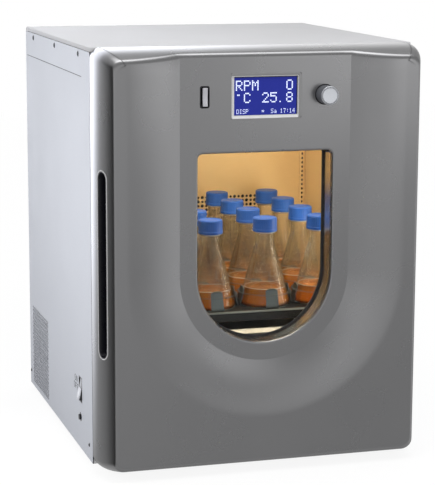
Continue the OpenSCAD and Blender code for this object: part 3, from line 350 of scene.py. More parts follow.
class Paint:
    """A Principled material and the few nodes that vary it over the surface."""

    def __init__(self, name, color, roughness, metallic=0.0, **sockets):
        self.material = bpy.data.materials.new(name)
        self.material.use_nodes = True
        self.tree = self.material.node_tree
        self.shader = self.tree.nodes["Principled BSDF"]
        self.shade(Base_Color=(*color, 1), Roughness=roughness, Metallic=metallic, **sockets)
        self.color = color
        self.roughness = roughness
        self.places = self.node("TexCoord").outputs["Object"]

    def shade(self, **values):
        """Sets or links the sockets of the Principled shader."""
        set_node(self.tree, self.shader, **values)

    def node(self, kind, **values):
        """A new node of this material."""
        return node(self.tree, kind, **values)

    def noise(self, scale, stretch=(1, 1, 1), detail=3.0):
        """Noise over the object's own places, in features per metre, stretched along an axis."""
        mapping = self.node("Mapping", Scale=stretch, Vector=self.places)
        where = mapping.outputs["Vector"]
        return self.node("TexNoise", Scale=scale, Detail=detail, Vector=where).outputs["Fac"]

    def vary_color(self, factor, share):
        """Mixes the colour towards a darker one where the factor is high."""
        ramp = self.node("ValToRGB", Fac=factor)
        dark = tuple(c * (1 - share) for c in self.color)
        for stop, place, color in zip(ramp.color_ramp.elements, (0.3, 0.7), (self.color, dark)):
            stop.position = place
            stop.color = (*color, 1)
        self.shade(Base_Color=ramp.outputs["Color"])

    def vary_roughness(self, factor, spread):
        """Moves the roughness up and down by a spread along the factor."""
        low, high = max(0.02, self.roughness - spread), min(1.0, self.roughness + spread)
        scaled = self.node("MapRange", Value=factor, To_Min=low, To_Max=high)
        self.shade(Roughness=scaled.outputs["Result"])

    def bump(self, factor, distance, strength):
        """Raises the surface by the factor, over a distance in metres."""
        relief = self.node("Bump", Height=factor, Distance=distance, Strength=strength)
        self.shade(Normal=relief.outputs["Normal"])

    def math(self, operation, a, b):
        """One step of arithmetic on numbers or on nodes' outputs."""
        return self.node("Math", operation=operation, i0=a, i1=b).outputs[0]

    def apart(self):
        """The object's own places as three numbers."""
        return self.node("SeparateXYZ", Vector=self.places).outputs

    def dark_where(self, mask, dark):
        """Mixes what feeds the colour towards a dark one where a mask is 1."""
        source = self.shader.inputs["Base Color"].links[0].from_socket
        mix = self.node("Mix", data_type="RGBA", i0=mask, i6=source, i7=(*dark, 1))
        self.shade(Base_Color=mix.outputs[2])

    def dots(self, axes, first, pitch, radius, low, high):
        """A mask of round dots on a square grid that starts at a place, between two corners."""
        squares = []
        inside = 1.0
        for i, axis in enumerate(axes):
            value = self.apart()[axis]
            steps = self.math("DIVIDE", self.math("SUBTRACT", value, first[i] - pitch / 2), pitch)
            off = self.math("SUBTRACT", self.math("FRACT", steps, 0.0), 0.5)
            squares.append(self.math("MULTIPLY", off, off))
            inside = self.math("MULTIPLY", inside, self.math("GREATER_THAN", value, low[i]))
            inside = self.math("MULTIPLY", inside, self.math("LESS_THAN", value, high[i]))
        near = self.math("LESS_THAN", self.math("ADD", *squares), (radius / pitch) ** 2)
        return self.math("MULTIPLY", near, inside)


def sheet_paint(name, color, roughness=0.38, ior=1.09):
    """Satin paint on sheet metal with a fine orange peel."""
    paint = Paint(name, color, roughness, IOR=ior)
    paint.vary_color(paint.noise(900, detail=2), 0.05)
    paint.vary_roughness(paint.noise(14, detail=4), 0.05)
    paint.bump(paint.noise(1400, detail=1), 0.00002, 0.35)
    return paint


def panel_paint(name, color, outside, *grid):
    """The cabinet's paint on a panel, with painted shade on the walls of its holes, and dark
    painted dots on a grid over its grille that stand for more holes and the shade seen through
    them.
    """
    paint = sheet_paint(name, color)
    edges = paint.math("LESS_THAN", paint.math("ABSOLUTE", paint.apart()["X"], 0.0), outside)
    # Painted shade: the hole walls and the dots are mixed towards a dark grey
    paint.dark_where(paint.math("MAXIMUM", edges, paint.dots("YZ", *grid)), (0.10, 0.10, 0.115))
    return paint.material


def perforated(name, color, dark, *grid):
    """Sheet steel with a field of fine round holes, painted as dark dots: painted shade of the
    space behind.
    """
    paint = Paint(name, color, 0.42, 0.35)
    grain = paint.noise(50, (1, 1, 30), detail=6)
    paint.vary_color(grain, 0.12)
    paint.vary_roughness(grain, 0.08)
    paint.dark_where(paint.dots("XZ", *grid), dark)
    return paint.material


def door_paint(name, color):
    """Metallic grey paint with a fine flake on a moulding."""
    paint = Paint(name, color, 0.28, 0.9, Coat_Weight=0.1, Coat_Roughness=0.2)
    paint.vary_color(paint.noise(2600, detail=2), 0.14)
    paint.vary_roughness(paint.noise(9, detail=4), 0.04)
    paint.bump(paint.noise(1900, detail=1), 0.000005, 0.15)
    return paint.material


def brushed_metal(name, color, roughness, stretch=(1, 40, 40), scale=60, metallic=1.0):
    """Metal with a grain along one axis."""
    paint = Paint(name, color, roughness, metallic)
    grain = paint.noise(scale, stretch, detail=6)
    paint.vary_color(grain, 0.12)
    paint.vary_roughness(grain, 0.08)
    paint.bump(grain, 0.00002, 0.3)
    return paint.material


def moulded(name, color, roughness, **sockets):
    """Plastic with the fine texture of its mould."""
    paint = Paint(name, color, roughness, **sockets)
    paint.vary_color(paint.noise(40, detail=5), 0.08)
    paint.vary_roughness(paint.noise(25, detail=4), 0.06)
    paint.bump(paint.noise(1600, detail=2), 0.00003, 0.3)
    return paint.material


def rubber(name, color):
    """Matt rubber with a fine, uneven skin."""
    paint = Paint(name, color, 0.62, Sheen_Weight=0.15)
    paint.vary_roughness(paint.noise(120, detail=5), 0.1)
    paint.bump(paint.noise(900, detail=3), 0.00005, 0.4)
    return paint.material


def casting(name, color, roughness=0.55):
    """Cast metal, painted or blackened, with a coarse skin."""
    paint = Paint(name, color, roughness, 0.5)
    paint.vary_color(paint.noise(90, detail=6), 0.25)
    paint.vary_roughness(paint.noise(150, detail=4), 0.1)
    paint.bump(paint.noise(420, detail=5), 0.0002, 0.5)
    return paint.material


def fibre(name, color):
    """Insulation of loose strands."""
    paint = Paint(name, color, 0.95, Sheen_Weight=0.3)
    strands = paint.noise(260, (1, 6, 1), detail=8)
    paint.vary_color(strands, 0.35)
    paint.bump(strands, 0.0006, 0.7)
    return paint.material


def clear(name, color, ior, roughness, transmission=1.0, streaks=0.0, alpha=1.0):
    """Glass or a liquid, with flow lines in the surface where it has streaks."""
    paint = Paint(
        name, color, roughness, IOR=ior, Transmission_Weight=transmission, Alpha=alpha
    )
    paint.vary_roughness(paint.noise(30), 0.01)
    if streaks:
        paint.bump(paint.noise(35, (1, 1, 0.25), detail=4), streaks, 0.5)
    return paint.material


def glowing(name, color, strength):
    """A surface that gives light of its own."""
    glow = (*color, 1)
    paint = Paint(name, color, 0.5, Emission_Strength=strength, Emission_Color=glow)
    paint.vary_roughness(paint.noise(60), 0.05)
    return paint.material


def lcd_material():
    """A lit blue display whose colour varies with a fine noise."""
    glow = (0.03, 0.04, 0.36, 1)
    paint = Paint(
        "display_blue", (0.02, 0.03, 0.26), 0.25, IOR=1.15, Emission_Strength=0.3,
        Emission_Color=glow,
    )
    paint.vary_color(paint.noise(1100, detail=1), 0.3)
    return paint.material


# The side panels' paint is a darker copy of the cabinet paint, and the cover's a greyer, slightly
# darker one: painted shade on the sides and on the top
CABINET_PAINT = sheet_paint("cabinet_paint", (0.64, 0.665, 0.725)).material
SHADED_COVER_PAINT = sheet_paint("cover_paint", (0.63, 0.63, 0.645), 0.42, 1.05).material
# Grid of the dark dots painted over the side grille: painted shade seen through holes
GRILLE_PITCH = 9 * MM
GRILLE_HOLE_R = 2.7 * MM
GRILLE_Y, GRILLE_Z = 531, 99
GRILLE_PITCHES = 9.3
grille_mid = at(0, GRILLE_Y, GRILLE_Z)
grille_reach = GRILLE_PITCHES * GRILLE_PITCH
# Painted shade: the side panels' paint is darker than the cabinet paint
SHADED_SIDE_PAINT = panel_paint(
    "side_paint_shaded",
    (0.60, 0.62, 0.675),
    -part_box("left_side_panel")[0].x - 0.4 * MM,
    (grille_mid.y, grille_mid.z),
    GRILLE_PITCH,
    GRILLE_HOLE_R,
    (grille_mid.y - grille_reach, grille_mid.z - grille_reach),
    (grille_mid.y + grille_reach, grille_mid.z + grille_reach),
)
DOOR_PAINT = door_paint("door_paint", (0.25, 0.25, 0.255))
# Painted highlight: grey of the handle slot's rim
HANDLE_RIM_HIGHLIGHT = moulded("trim_grey", (0.50, 0.50, 0.50), 0.4)
# Black plastic of the switches and the inlet, also painted shade round the knob
BLACK_TRIM_AND_SHADE = moulded("trim_dark", (0.012, 0.012, 0.015), 0.35)
# Black of the slots and the handle's cup, also painted shade behind the rear wall, in the rails'
# slots and round the display
SLOT_DARK_AND_SHADE = moulded("dark_plastic_and_shade", (0.006, 0.006, 0.01), 0.28)
WELL_METAL = brushed_metal("well_metal", (0.66, 0.63, 0.59), 0.22, (1, 1, 40), 40)
# Painted light: a lighter copy of the bezel's plastic for its lit lip
BEZEL_LIT_PLASTIC = moulded("bezel_lit_plastic", (0.74, 0.74, 0.74), 0.45)
BEZEL_GREY = moulded("bezel_grey", (0.27, 0.27, 0.275), 0.42)
KNOB_DARK = moulded("knob_dark", (0.13, 0.135, 0.15), 0.4)
# Painted light: white of the lit front of the chamber floor
FLOOR_LIGHT_WHITE = moulded("painted_floor_light", (0.86, 0.84, 0.80), 0.45)
# Painted highlight: grey of the tray's top edge
TRAY_EDGE_HIGHLIGHT = moulded("edge_grey", (0.26, 0.28, 0.27), 0.4)
PADDLE = moulded("paddle_silver", (0.56, 0.56, 0.60), 0.3)
# Painted light: grey of the rocker's lit lower half
ROCKER_LIT_GREY = moulded("rocker_lit_plate", (0.34, 0.34, 0.37), 0.32)
MARK_DARK = moulded("mark_dark", (0.02, 0.02, 0.025), 0.5)
KNOB_SILVER = brushed_metal("knob_silver", (0.66, 0.68, 0.72), 0.42, (1, 8, 1), 900, 0.7)
GLASS = clear("flask_glass", (0.98, 0.99, 0.98), 1.4, 0.0, 1.0, 0.0004, 0.55)
PANE = clear("window_glass", (0.97, 0.98, 0.97), 1.12, 0.0)
MEDIUM = clear("medium_orange", (1.0, 0.37, 0.04), 1.25, 0.04, 0.66)
# Pale glass: painted highlights on the flasks' beads and on the medium's edge
PALE_BEAD_GLASS = clear("glass_bead", (1.0, 0.97, 0.88), 1.5, 0.02, 0.35)
CAP_BLUE = moulded(
    "cap_blue", (0.025, 0.115, 0.52), 0.42, IOR=1.3, Coat_Weight=0.1, Coat_Roughness=0.2
)
# The chamber's steel is coloured tan: painted warm lamplight. The side walls' copy is lighter and
# yellower: painted light on them.
LAMPLIT_STEEL_COLOR = (0.80, 0.59, 0.31)
LINER = brushed_metal("liner_steel", LAMPLIT_STEEL_COLOR, 0.42, (1, 1, 30), 50, 0.35)
LAMPLIT_SIDE_STEEL = brushed_metal("side_liner_steel", (0.96, 0.76, 0.46), 0.45, (1, 1, 30), 50, 0.2)
# Grid of the rear wall's dark painted dots: painted shade seen through its holes
HOLE_GRID = 9.5 * MM
HOLE_R = 2.9 * MM
FIRST_HOLE = (0, 0.284)
HOLES_LOW, HOLES_HIGH = (-0.186, 0.279), (0.176, 0.451)
REAR_WALL = perforated(
    "rear_wall_steel",
    LAMPLIT_STEEL_COLOR,
    (0.03, 0.02, 0.012),
    FIRST_HOLE,
    HOLE_GRID,
    HOLE_R,
    HOLES_LOW,
    HOLES_HIGH,
)
STEEL = brushed_metal("plain_steel", (0.55, 0.55, 0.56), 0.32)
ZINC = brushed_metal("zinc_steel", (0.55, 0.56, 0.58), 0.45, (12, 1, 1), 40)
SCREW = casting("dark_screw", (0.04, 0.04, 0.045), 0.4)
IRON = casting("drive_iron", (0.10, 0.115, 0.13))
ALUMINIUM = brushed_metal("drive_aluminium", (0.6, 0.6, 0.61), 0.35, (1, 1, 30), 80)
PLATFORM_PAINT = sheet_paint("platform_paint", (0.016, 0.017, 0.02), 0.4, 1.35).material
RUBBER = rubber("black_rubber", (0.018, 0.018, 0.02))
FIBRE = fibre("insulation", (0.62, 0.55, 0.30))
LAMP = glowing("lamp_white", (1.0, 0.82, 0.52), 3.0)
HEATER = brushed_metal("heater_steel", (0.16, 0.13, 0.12), 0.5, (1, 1, 1), 200)
BOARD = moulded("board_green", (0.01, 0.08, 0.03), 0.4)
CLAMP_STEEL = brushed_metal("clamp_steel", (0.14, 0.16, 0.165), 0.42, (1, 1, 20), 120, 0.8)
DIGIT_GLOW = glowing("display_pixels", (0.70, 0.77, 1.0), 0.66)

NODE_MATERIALS = {
    CABINET_PAINT: "rear_panel",
    SHADED_SIDE_PAINT: "left_side_panel right_side_panel",
    SHADED_COVER_PAINT: "top_cover",
    BEZEL_LIT_PLASTIC: "display_bezel",
    BLACK_TRIM_AND_SHADE: "power_inlet power_switch_housing breaker_body reset_button start_stop_housing",
    SLOT_DARK_AND_SHADE: "handle_cup",
    WELL_METAL: "window_frame",
    KNOB_SILVER: "power_rocker control_knob",
    PADDLE: "start_stop_rocker",
    GLASS: "flasks",
    PANE: "window_panes",
    MEDIUM: "culture_medium",
    CAP_BLUE: "flask_caps",
    LAMPLIT_SIDE_STEEL: "chamber_side_walls",
    LINER: "chamber_ceiling",
    REAR_WALL: "chamber_rear_wall",
    STEEL: "front_frame chamber_floor shaft_bearings main_crankshaft idler_crank_left"
    " idler_crank_right platform_bearings platform_screws door_liner encoder_shaft",
    CLAMP_STEEL: "flask_clamps",
    ZINC: "base_pan hinge_brackets hinge_pins power_supply",
    SCREW: "panel_screws",
    IRON: "blower_motor drive_plate bearing_housings main_counterweight drive_motor",
    ALUMINIUM: "blower_wheel main_pulley motor_pulley subplatform",
    PLATFORM_PAINT: "platform",
    RUBBER: "feet drive_mounts drive_belt window_gasket door_seal",
    FIBRE: "insulation door_core",
    LAMP: "chamber_lamp",
    HEATER: "heater_element",
    BOARD: "control_board",
    DOOR_PAINT: "door_shell",
    lcd_material(): "lcd_panel",
}


def dress(obj, material, rides=None, replaces=(), sharp=None):
    """Gives an object its material and, for a new piece, its body, the nodes it stands
    for and the angle in degrees above which its edges stay sharp."""
    obj.data.materials.clear()
    obj.data.materials.append(material)
    if sharp:
        sharpen(obj, sharp)
    if rides:
        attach(obj, rides)
    if replaces:
        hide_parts(*replaces)


for node_material, names in NODE_MATERIALS.items():
    for name in names.split():
        dress(nodes[name], node_material)


# Lettering

GLYPHS = {
    "N": "#...# ##..# ##..# #.#.# #..## #..## #...#",
    "F": "##### #.... #.... ####. #.... #.... #....",
    "O": ".###. #...# #...# #...# #...# #...# .###.",
    "R": "####. #...# #...# ####. #.#.. #..#. #...#",
    "P": "####. #...# #...# ####. #.... #.... #....",
    "M": "#...# ##.## #.#.# #.#.# #...# #...# #...#",
    "C": ".###. #...# #.... #.... #.... #...# .###.",
    "D": "####. #...# #...# #...# #...# #...# ####.",
    "I": ".###. ..#.. ..#.. ..#.. ..#.. ..#.. .###.",
    "S": ".#### #.... #.... .###. ....# ....# ####.",
    "0": ".###. #...# #...# #...# #...# #...# .###.",
    "1": "..#.. .##.. ..#.. ..#.. ..#.. ..#.. .###.",
    "2": ".###. #...# ....# ...#. ..#.. .#... #####",
    "4": "...#. ..##. .#.#. #..#. ##### ...#. ...#.",
    "5": "##### #.... ####. ....# ....# #...# .###.",
    "7": "##### ....# ...#. ...#. ..#.. ..#.. ..#..",
    "8": ".###. #...# #...# .###. #...# #...# .###.",
    ".": "..... ..... ..... ..... ..... ..... .#...",
    ":": "..... ..#.. ..#.. ..... ..#.. ..#.. .....",
    "=": "..... ..... ##### ..... ##### ..... .....",
    "o": "..... .##.. ..... ..... ..... ..... .....",
    "a": "..... ..... .###. ....# .#### #...# .####",
}


def lettering(name, words, place):
    """Squares for the lit cells of words, each (word, left, top, cell), where a cell is (width,
    height, shares of both that are filled) and place() puts (x, z) from the upper left corner."""
    verts = []
    for word, left, top, (cell_w, cell_h, fill_w, fill_h) in words:
        for i, letter in enumerate(word):
            for row, cells in enumerate(GLYPHS[letter].split()):
                for column, cell in enumerate(cells):
                    if cell == "#":
                        x, z = left + (i * 6 + column) * cell_w, top + row * cell_h
                        square = rectangle(x, z, x + cell_w * fill_w, z + cell_h * fill_h)
                        verts += [place(*corner) for corner in square]
    faces = [list(range(start, start + 4)) for start in range(0, len(verts), 4)]
    return mesh_object(name, verts, faces, smooth=False, closed=False)


BIG = (2.66, 2.8, 0.84, 0.84)
SMALL = (1.02, 1.22, 0.84, 0.84)
BEZEL_W = 7
ROW_1, ROW_2, ROW_3 = 7.2, 30.6, 61.8
GLASS_HW, GLASS_HH = bezel_half.x - BEZEL_W, bezel_half.z - BEZEL_W
lcd_face = size_mm("lcd_panel")[0].y
digits = lettering(
    "display_digits",
    [
        ("RPM", 3.6, ROW_1, BIG), ("0", 104, ROW_1, BIG), ("oC", 3.6, ROW_2, BIG),
        ("25.8", 56, ROW_2, BIG), ("DISP", 5, ROW_3, SMALL), ("=", 55, ROW_3, SMALL),
        ("Sa", 73.5, ROW_3, SMALL), ("17:14", 92, ROW_3, SMALL),
    ],
    lambda x, z: at(x - GLASS_HW, lcd_face - 0.08, CONTROL_Z + GLASS_HH - z),
)
dress(digits, DIGIT_GLOW, "door")


# Door skin

FLAT_STEPS = 6
SIDE_STEPS = 14
FILLET_STEPS = 7


def arc_radius(run, inset):
    """Radius of the arc that moves inwards by an inset over a run."""
    return (run * run + inset * inset) / (2 * inset)


def edge_profile(inset, fillet, front, rear=0):
    """(inward offset, depth from the door's back) along one side of the door and round its front
    edge, for a front face at a depth and a rear edge rounded by a radius."""
    bow = arc_radius(BODY_T - SIDE_FLAT, inset)
    centre_d = front - fillet
    centre_m = bow - math.sqrt((bow - fillet) ** 2 - (centre_d - SIDE_FLAT) ** 2)
    grow = bow / (bow - fillet)
    touch_m = bow - (bow - centre_m) * grow
    touch_d = SIDE_FLAT + (centre_d - SIDE_FLAT) * grow
    points = []
    for i in range(FLAT_STEPS):
        a = math.pi / 2 * i / FLAT_STEPS
        points.append((rear * (1 - math.sin(a)), SIDE_FLAT * (1 - math.cos(a))))
    for i in range(SIDE_STEPS + 1):
        off = (touch_d - SIDE_FLAT) * i / SIDE_STEPS
        points.append((bow - math.sqrt(bow * bow - off * off), SIDE_FLAT + off))
    start = math.atan2(touch_d - centre_d, centre_m - touch_m)
    for i in range(1, FILLET_STEPS + 1):
        a = start + (math.pi / 2 - start) * i / FILLET_STEPS
        points.append((centre_m - fillet * math.cos(a), centre_d + fillet * math.sin(a)))
    points.append((centre_m + SUPPORT, front))
    return points


def recess_depth_at(rho):
    """Depth of the sunk front face below the outer one, at a distance from the recess's spine."""
    if rho >= SLOPE_HW:
        return 0.0
    if rho <= PANEL_HW:
        return RECESS_DEPTH
    run = SLOPE_HW - PANEL_HW
    chord = math.hypot(run, RECESS_DEPTH)
    fall = math.atan2(RECESS_DEPTH, run)
    bow = chord / (2 * math.sin(fall - SLOPE_START))
    cx, cd = SLOPE_HW + bow * math.sin(SLOPE_START), bow * math.cos(SLOPE_START)
    return cd - math.sqrt(bow * bow - (cx - rho) ** 2)


SIDE = edge_profile(SIDE_INSET, EDGE_R, BODY_T)
HINGE_SIDE = edge_profile(SIDE_INSET, EDGE_R, BODY_T, SIDE_FLAT)
BOTTOM = edge_profile(BOTTOM_INSET, LIP_R, BODY_T)
TOP = edge_profile(TOP_INSET, LIP_R, BODY_T)
LAST = len(SIDE) - 1
FRONT_HW = HALF_W - SIDE[LAST][0]
STRAIGHT_LOW = BOTTOM[LAST][0] + CORNER_R
STRAIGHT_HIGH = DOOR_H - TOP[LAST][0] - CORNER_R


def corner_signs(kind):
    """Which side a corner's stations lie on, and whether they lie above."""
    return 1 if "right" in kind else -1, 1 if "high" in kind else -1


def ring_point(kind, value, p):
    """(x, z, depth) of one station of the outline at one step of the edge profile."""
    on_hinge_side = "right" in kind or (kind in ("bottom", "top") and value > 0)
    side_m, side_d = (HINGE_SIDE if on_hinge_side else SIDE)[p]
    low_m, low_d = BOTTOM[p]
    high_m, high_d = TOP[p]
    hw = HALF_W - side_m
    low, high = low_m + CORNER_R, DOOR_H - high_m - CORNER_R
    if kind in ("left", "right"):
        return hw if kind == "right" else -hw, low + value * (high - low), side_d
    if kind in ("bottom", "top"):
        x = value * (hw - CORNER_R) / (FRONT_HW - CORNER_R)
        if kind == "bottom":
            return x, low_m, low_d
        m, d = edge_profile(TOP_INSET, LIP_R, BODY_T - recess_depth_at(abs(value)))[p]
        return x, DOOR_H - m, d
    sx, up = corner_signs(kind)
    centre_z, end_d = (high, high_d) if up > 0 else (low, low_d)
    x = sx * (hw - CORNER_R + CORNER_R * math.cos(value))
    depth = side_d * math.cos(value) ** 2 + end_d * math.sin(value) ** 2
    return x, centre_z + up * CORNER_R * math.sin(value), depth


# Stations of the door's outline, from the left side's upper end round to the top: heights as a
# share of the side's straight part, places along the bottom and the top, and angles in the corners
CORNER_STEPS = 10
BOTTOM_STEPS = 44
LOW_SIDE_STEPS = 12
HIGH_SIDE_STEPS = 10
SLOPE_STEPS = 14
PANEL_STEPS = 12
slope_w = SLOPE_HW - PANEL_HW
SLOPE_RHO = [SLOPE_HW + 5] + [SLOPE_HW - slope_w * i / SLOPE_STEPS for i in range(SLOPE_STEPS + 1)]
quarter = [math.pi / 2 * i / CORNER_STEPS for i in range(1, CORNER_STEPS)]
round_share = (ROUND_Z - STRAIGHT_LOW) / (STRAIGHT_HIGH - STRAIGHT_LOW)
left_down = [1 - (1 - round_share) * i / HIGH_SIDE_STEPS for i in range(HIGH_SIDE_STEPS + 1)]
left_down += [round_share * (1 - i / LOW_SIDE_STEPS) for i in range(1, LOW_SIDE_STEPS + 1)]
edge_x = FRONT_HW - CORNER_R
bottom_x = [-edge_x + 2 * edge_x * i / BOTTOM_STEPS for i in range(BOTTOM_STEPS + 1)]
panel_x = [PANEL_HW * (1 - 2 * i / PANEL_STEPS) for i in range(1, PANEL_STEPS)]
top_x = [edge_x, *SLOPE_RHO, *panel_x, *[-r for r in SLOPE_RHO[::-1]], -edge_x]
stations = [
    (kind, value)
    for kind, values in (
        ("left", left_down),
        ("low_left", quarter),
        ("bottom", bottom_x),
        ("low_right", quarter[::-1]),
        ("right", left_down[::-1]),
        ("high_right", quarter),
        ("top", top_x),
        ("high_left", quarter[::-1]),
    )
    for value in values
]
N = len(stations)


def inner_ring(hw, low, high, r, y):
    """The stations' places on a rounded rectangle in the door's back."""
    points = []
    for kind, value in stations:
        sx, up = corner_signs(kind)
        if kind in ("left", "right"):
            x, z = sx * hw, low + r + value * (high - low - 2 * r)
        elif kind in ("bottom", "top"):
            x, z = value * (hw - r) / edge_x, low if kind == "bottom" else high
        else:
            x = sx * (hw - r + r * math.cos(value))
            z = (high - r if up > 0 else low + r) + up * r * math.sin(value)
        points.append(at(x, y, z))
    return points


def door_skin():
    """The moulding's outside as one closed mesh, before anything is cut into it."""
    liner_low, liner_high = size_mm("door_liner")
    back = (liner_high.x + 0.1, liner_low.z - 0.1, liner_high.z + 0.1, 12)
    rings = [inner_ring(*back, liner_low.y - 0.1), inner_ring(*back, -DOOR_BACK)]
    for p in range(LAST + 1):
        spots = [ring_point(kind, value, p) for kind, value in stations]
        rings.append([at(x, -DOOR_BACK - d, z) for x, z, d in spots])
    verts = [point for ring in rings for point in ring]
    last = (len(rings) - 1) * N
    faces = [list(range(N))]
    for start in range(0, last, N):
        faces += band(N, start, start + N)

    # The slope: one row of points for each distance from the spine
    last_ray = stations.index(("right", left_down[0]))
    grid = []
    for rho in SLOPE_RHO:
        grid.append(list(range(len(verts), len(verts) + last_ray + 1)))
        for kind, value in stations[: last_ray + 1]:
            x, z, _ = ring_point(kind, value, LAST)
            px, pz = math.copysign(rho, x), z
            if z < ROUND_Z - 1e-6:
                a = math.atan2(z - ROUND_Z, x)
                px, pz = rho * math.cos(a), ROUND_Z + rho * math.sin(a)
            verts.append(at(px, -DOOR_T + recess_depth_at(rho), pz))
    steps = list(zip(grid, grid[1:]))
    for i in range(last_ray):
        faces.append([last + i, last + i + 1, grid[0][i + 1], grid[0][i]])
        faces += [[high[i], high[i + 1], low[i + 1], low[i]] for high, low in steps]

    # The top ends of the slope's columns, the corner patches and the flat panel
    tops = [(last + i, value) for i, (kind, value) in enumerate(stations) if kind == "top"]
    top_index = {round(value, 6): i for i, value in tops}

    def top_at(value):
        return top_index[round(value, 6)]

    for side, ray in ((-1, 0), (1, last_ray)):
        for (high, low), rho, inner in zip(steps, SLOPE_RHO, SLOPE_RHO[1:]):
            faces.append([high[ray], low[ray], top_at(side * inner), top_at(side * rho)])
    right_corner = [
        last + i for i in range(last_ray, N) if stations[i][0] not in ("top", "high_left")
    ]
    faces.append(right_corner + [top_at(edge_x), top_at(SLOPE_RHO[0]), grid[0][last_ray]])
    left_corner = [last + i for i in range(N) if stations[i][0] == "high_left"]
    faces.append([grid[0][0], top_at(-SLOPE_RHO[0]), top_at(-edge_x), *left_corner, last])
    faces.append(grid[-1] + [i for i, value in tops if abs(value) <= PANEL_HW + 1e-6])
    return mesh_object("door_skin", verts, faces)


def window_path(grow):
    """The window's outline grown by an amount, in (x, z), always with as many points."""
    hw, top = WINDOW_HW + grow, WINDOW_TOP + grow
    r = max(2.0, 10 + grow)
    shares = [(top - r - ROUND_Z) * i / 8 for i in range(1, 8)]
    path = arc(0, ROUND_Z, hw, 180, 360, 64)
    path += [(hw, ROUND_Z + share) for share in shares]
    path += arc(hw - r, top - r, r, 0, 90, 8)
    path += arc(r - hw, top - r, r, 90, 180, 8)
    return path + [(-hw, top - r - share) for share in shares]


def window_sweep(name, profile):
    """A closed ring round the window from a closed profile of (grow, y)."""
    rings = [[at(x, y, z) for x, z in window_path(grow)] for grow, y in profile]
    return loft(name, rings, endless=True)


HALF_PANEL = -size_mm("left_side_panel")[0].x
cup_low, cup_high = size_mm("handle_cup")
cup_mid, cup_half = mid_half(cup_low, cup_high)
SEAT = 0.1
SLOT = (cup_mid.y, cup_mid.z)
SLOT_W = 2 * (cup_half.y + SEAT)
SLOT_LEN = 2 * (cup_half.z + SEAT)
switch_mid, switch_half = mid_half(*size_mm("start_stop_housing"))
knob_low, knob_high = size_mm("control_knob")
knob_mid, knob_half = mid_half(knob_low, knob_high)
KNOB_X, KNOB_R = knob_mid.x, knob_half.x
SHAFT_R = 3
pins_low, pins_high = size_mm("hinge_pins")
pins_mid = (pins_low + pins_high) / 2
PIN_X, PIN_Y = pins_mid.x, pins_mid.y
PIN_LEN = 32
ARM_T = 6
ARM_SLOT_X, ARM_SLOT_Y = 10.5, 13
CUT_AHEAD, CUT_BEHIND = 10, 5
KNOB_POCKET = 4
HINGE_ZS = (pins_low.z + PIN_LEN / 2, pins_high.z - PIN_LEN / 2)


def seat(mid, half, r):
    """Outline of the opening that a piece of the front panel sits in."""
    return rounded(mid.x, CONTROL_Z, 2 * (half.x + SEAT), 2 * (half.z + SEAT), r)


def cut_door(skin):
    """Cuts the window, the hollow, the handle slot, the hinge slots and the controls' seats."""
    ahead, behind = PANEL_Y - CUT_AHEAD, HOLLOW_Y + CUT_BEHIND
    handle = stadium(*SLOT, SLOT_W, SLOT_LEN)
    knob_spot = (KNOB_X, CONTROL_Z)
    cutters = [
        prism("window_cut", window_path(LIP_EDGE), ahead, behind, "y"),
        prism("bezel_cut", seat(bezel_mid, bezel_half, 3), ahead, behind, "y"),
        prism("switch_cut", seat(switch_mid, switch_half, 4), ahead, behind, "y"),
        prism("knob_cut", circle(*knob_spot, KNOB_R + 2), ahead, PANEL_Y + KNOB_POCKET, "y"),
        prism("handle_cut", handle, -HALF_W - 5, cup_high.x + 0.1, "x"),
    ]
    arm = ARM_T / 2 + 0.5
    hinge = rectangle(PIN_X - ARM_SLOT_X, -DOOR_BACK + 1, HALF_W + 1, PIN_Y - ARM_SLOT_Y)
    cutters += [prism("hinge_cut", hinge, z - arm, z + arm, "z") for z in HINGE_ZS]
    cut(skin, cutters)
    hollow = rounded(0, DOOR_H / 2, 2 * HOLLOW_HW, DOOR_H - 2 * HOLLOW_MARGIN, 12)
    shaft = circle(*knob_spot, SHAFT_R + 2, 24)
    shaft_cut = prism("shaft_cut", shaft, ahead, behind, "y")
    cut(skin, [prism("hollow_cut", hollow, HOLLOW_Y, -DOOR_BACK + 1, "y")])
    cut(skin, [shaft_cut])


skin = door_skin()
cut_door(skin)
lip_profile = [
    (LIP_EDGE * (1 - up), PANEL_Y + LIP_EDGE * (1 - along))
    for along, up in arc(0, 0, 1, 0, 90, 8)
]
lip_profile += [(0, PANEL_Y + 9), (2.9, PANEL_Y + 9), (LIP_EDGE, PANEL_Y + LIP_EDGE)]
lip = window_sweep("window_lip", lip_profile)
dress(skin, DOOR_PAINT, "door", ["door_shell"], 12)
dress(lip, DOOR_PAINT, "door", sharp=50)

well_profile = [
    (0.0, PANEL_Y + 9.1), (0.0, PANE_Y - 0.1), (FLANGE, PANE_Y - 0.1), (FLANGE, PANE_Y - 3.1),
    (2.9, PANE_Y - 3.1), (2.9, PANEL_Y + 9.1),
]
well = window_sweep("window_well", well_profile)
dress(well, WELL_METAL, "door", ["window_frame"], 40)

BORDER = 3.2
border_y = PANE_Y - 3.2
border_profile = [
    (-0.1, PANE_Y - 0.15), (-0.1, border_y), (-1.2, border_y - 0.5),
    (-BORDER + 0.8, border_y - 0.5), (-BORDER, border_y), (-BORDER, PANE_Y - 0.15),
]
border = window_sweep("pane_border", border_profile)
dress(border, RUBBER, "door", sharp=40)

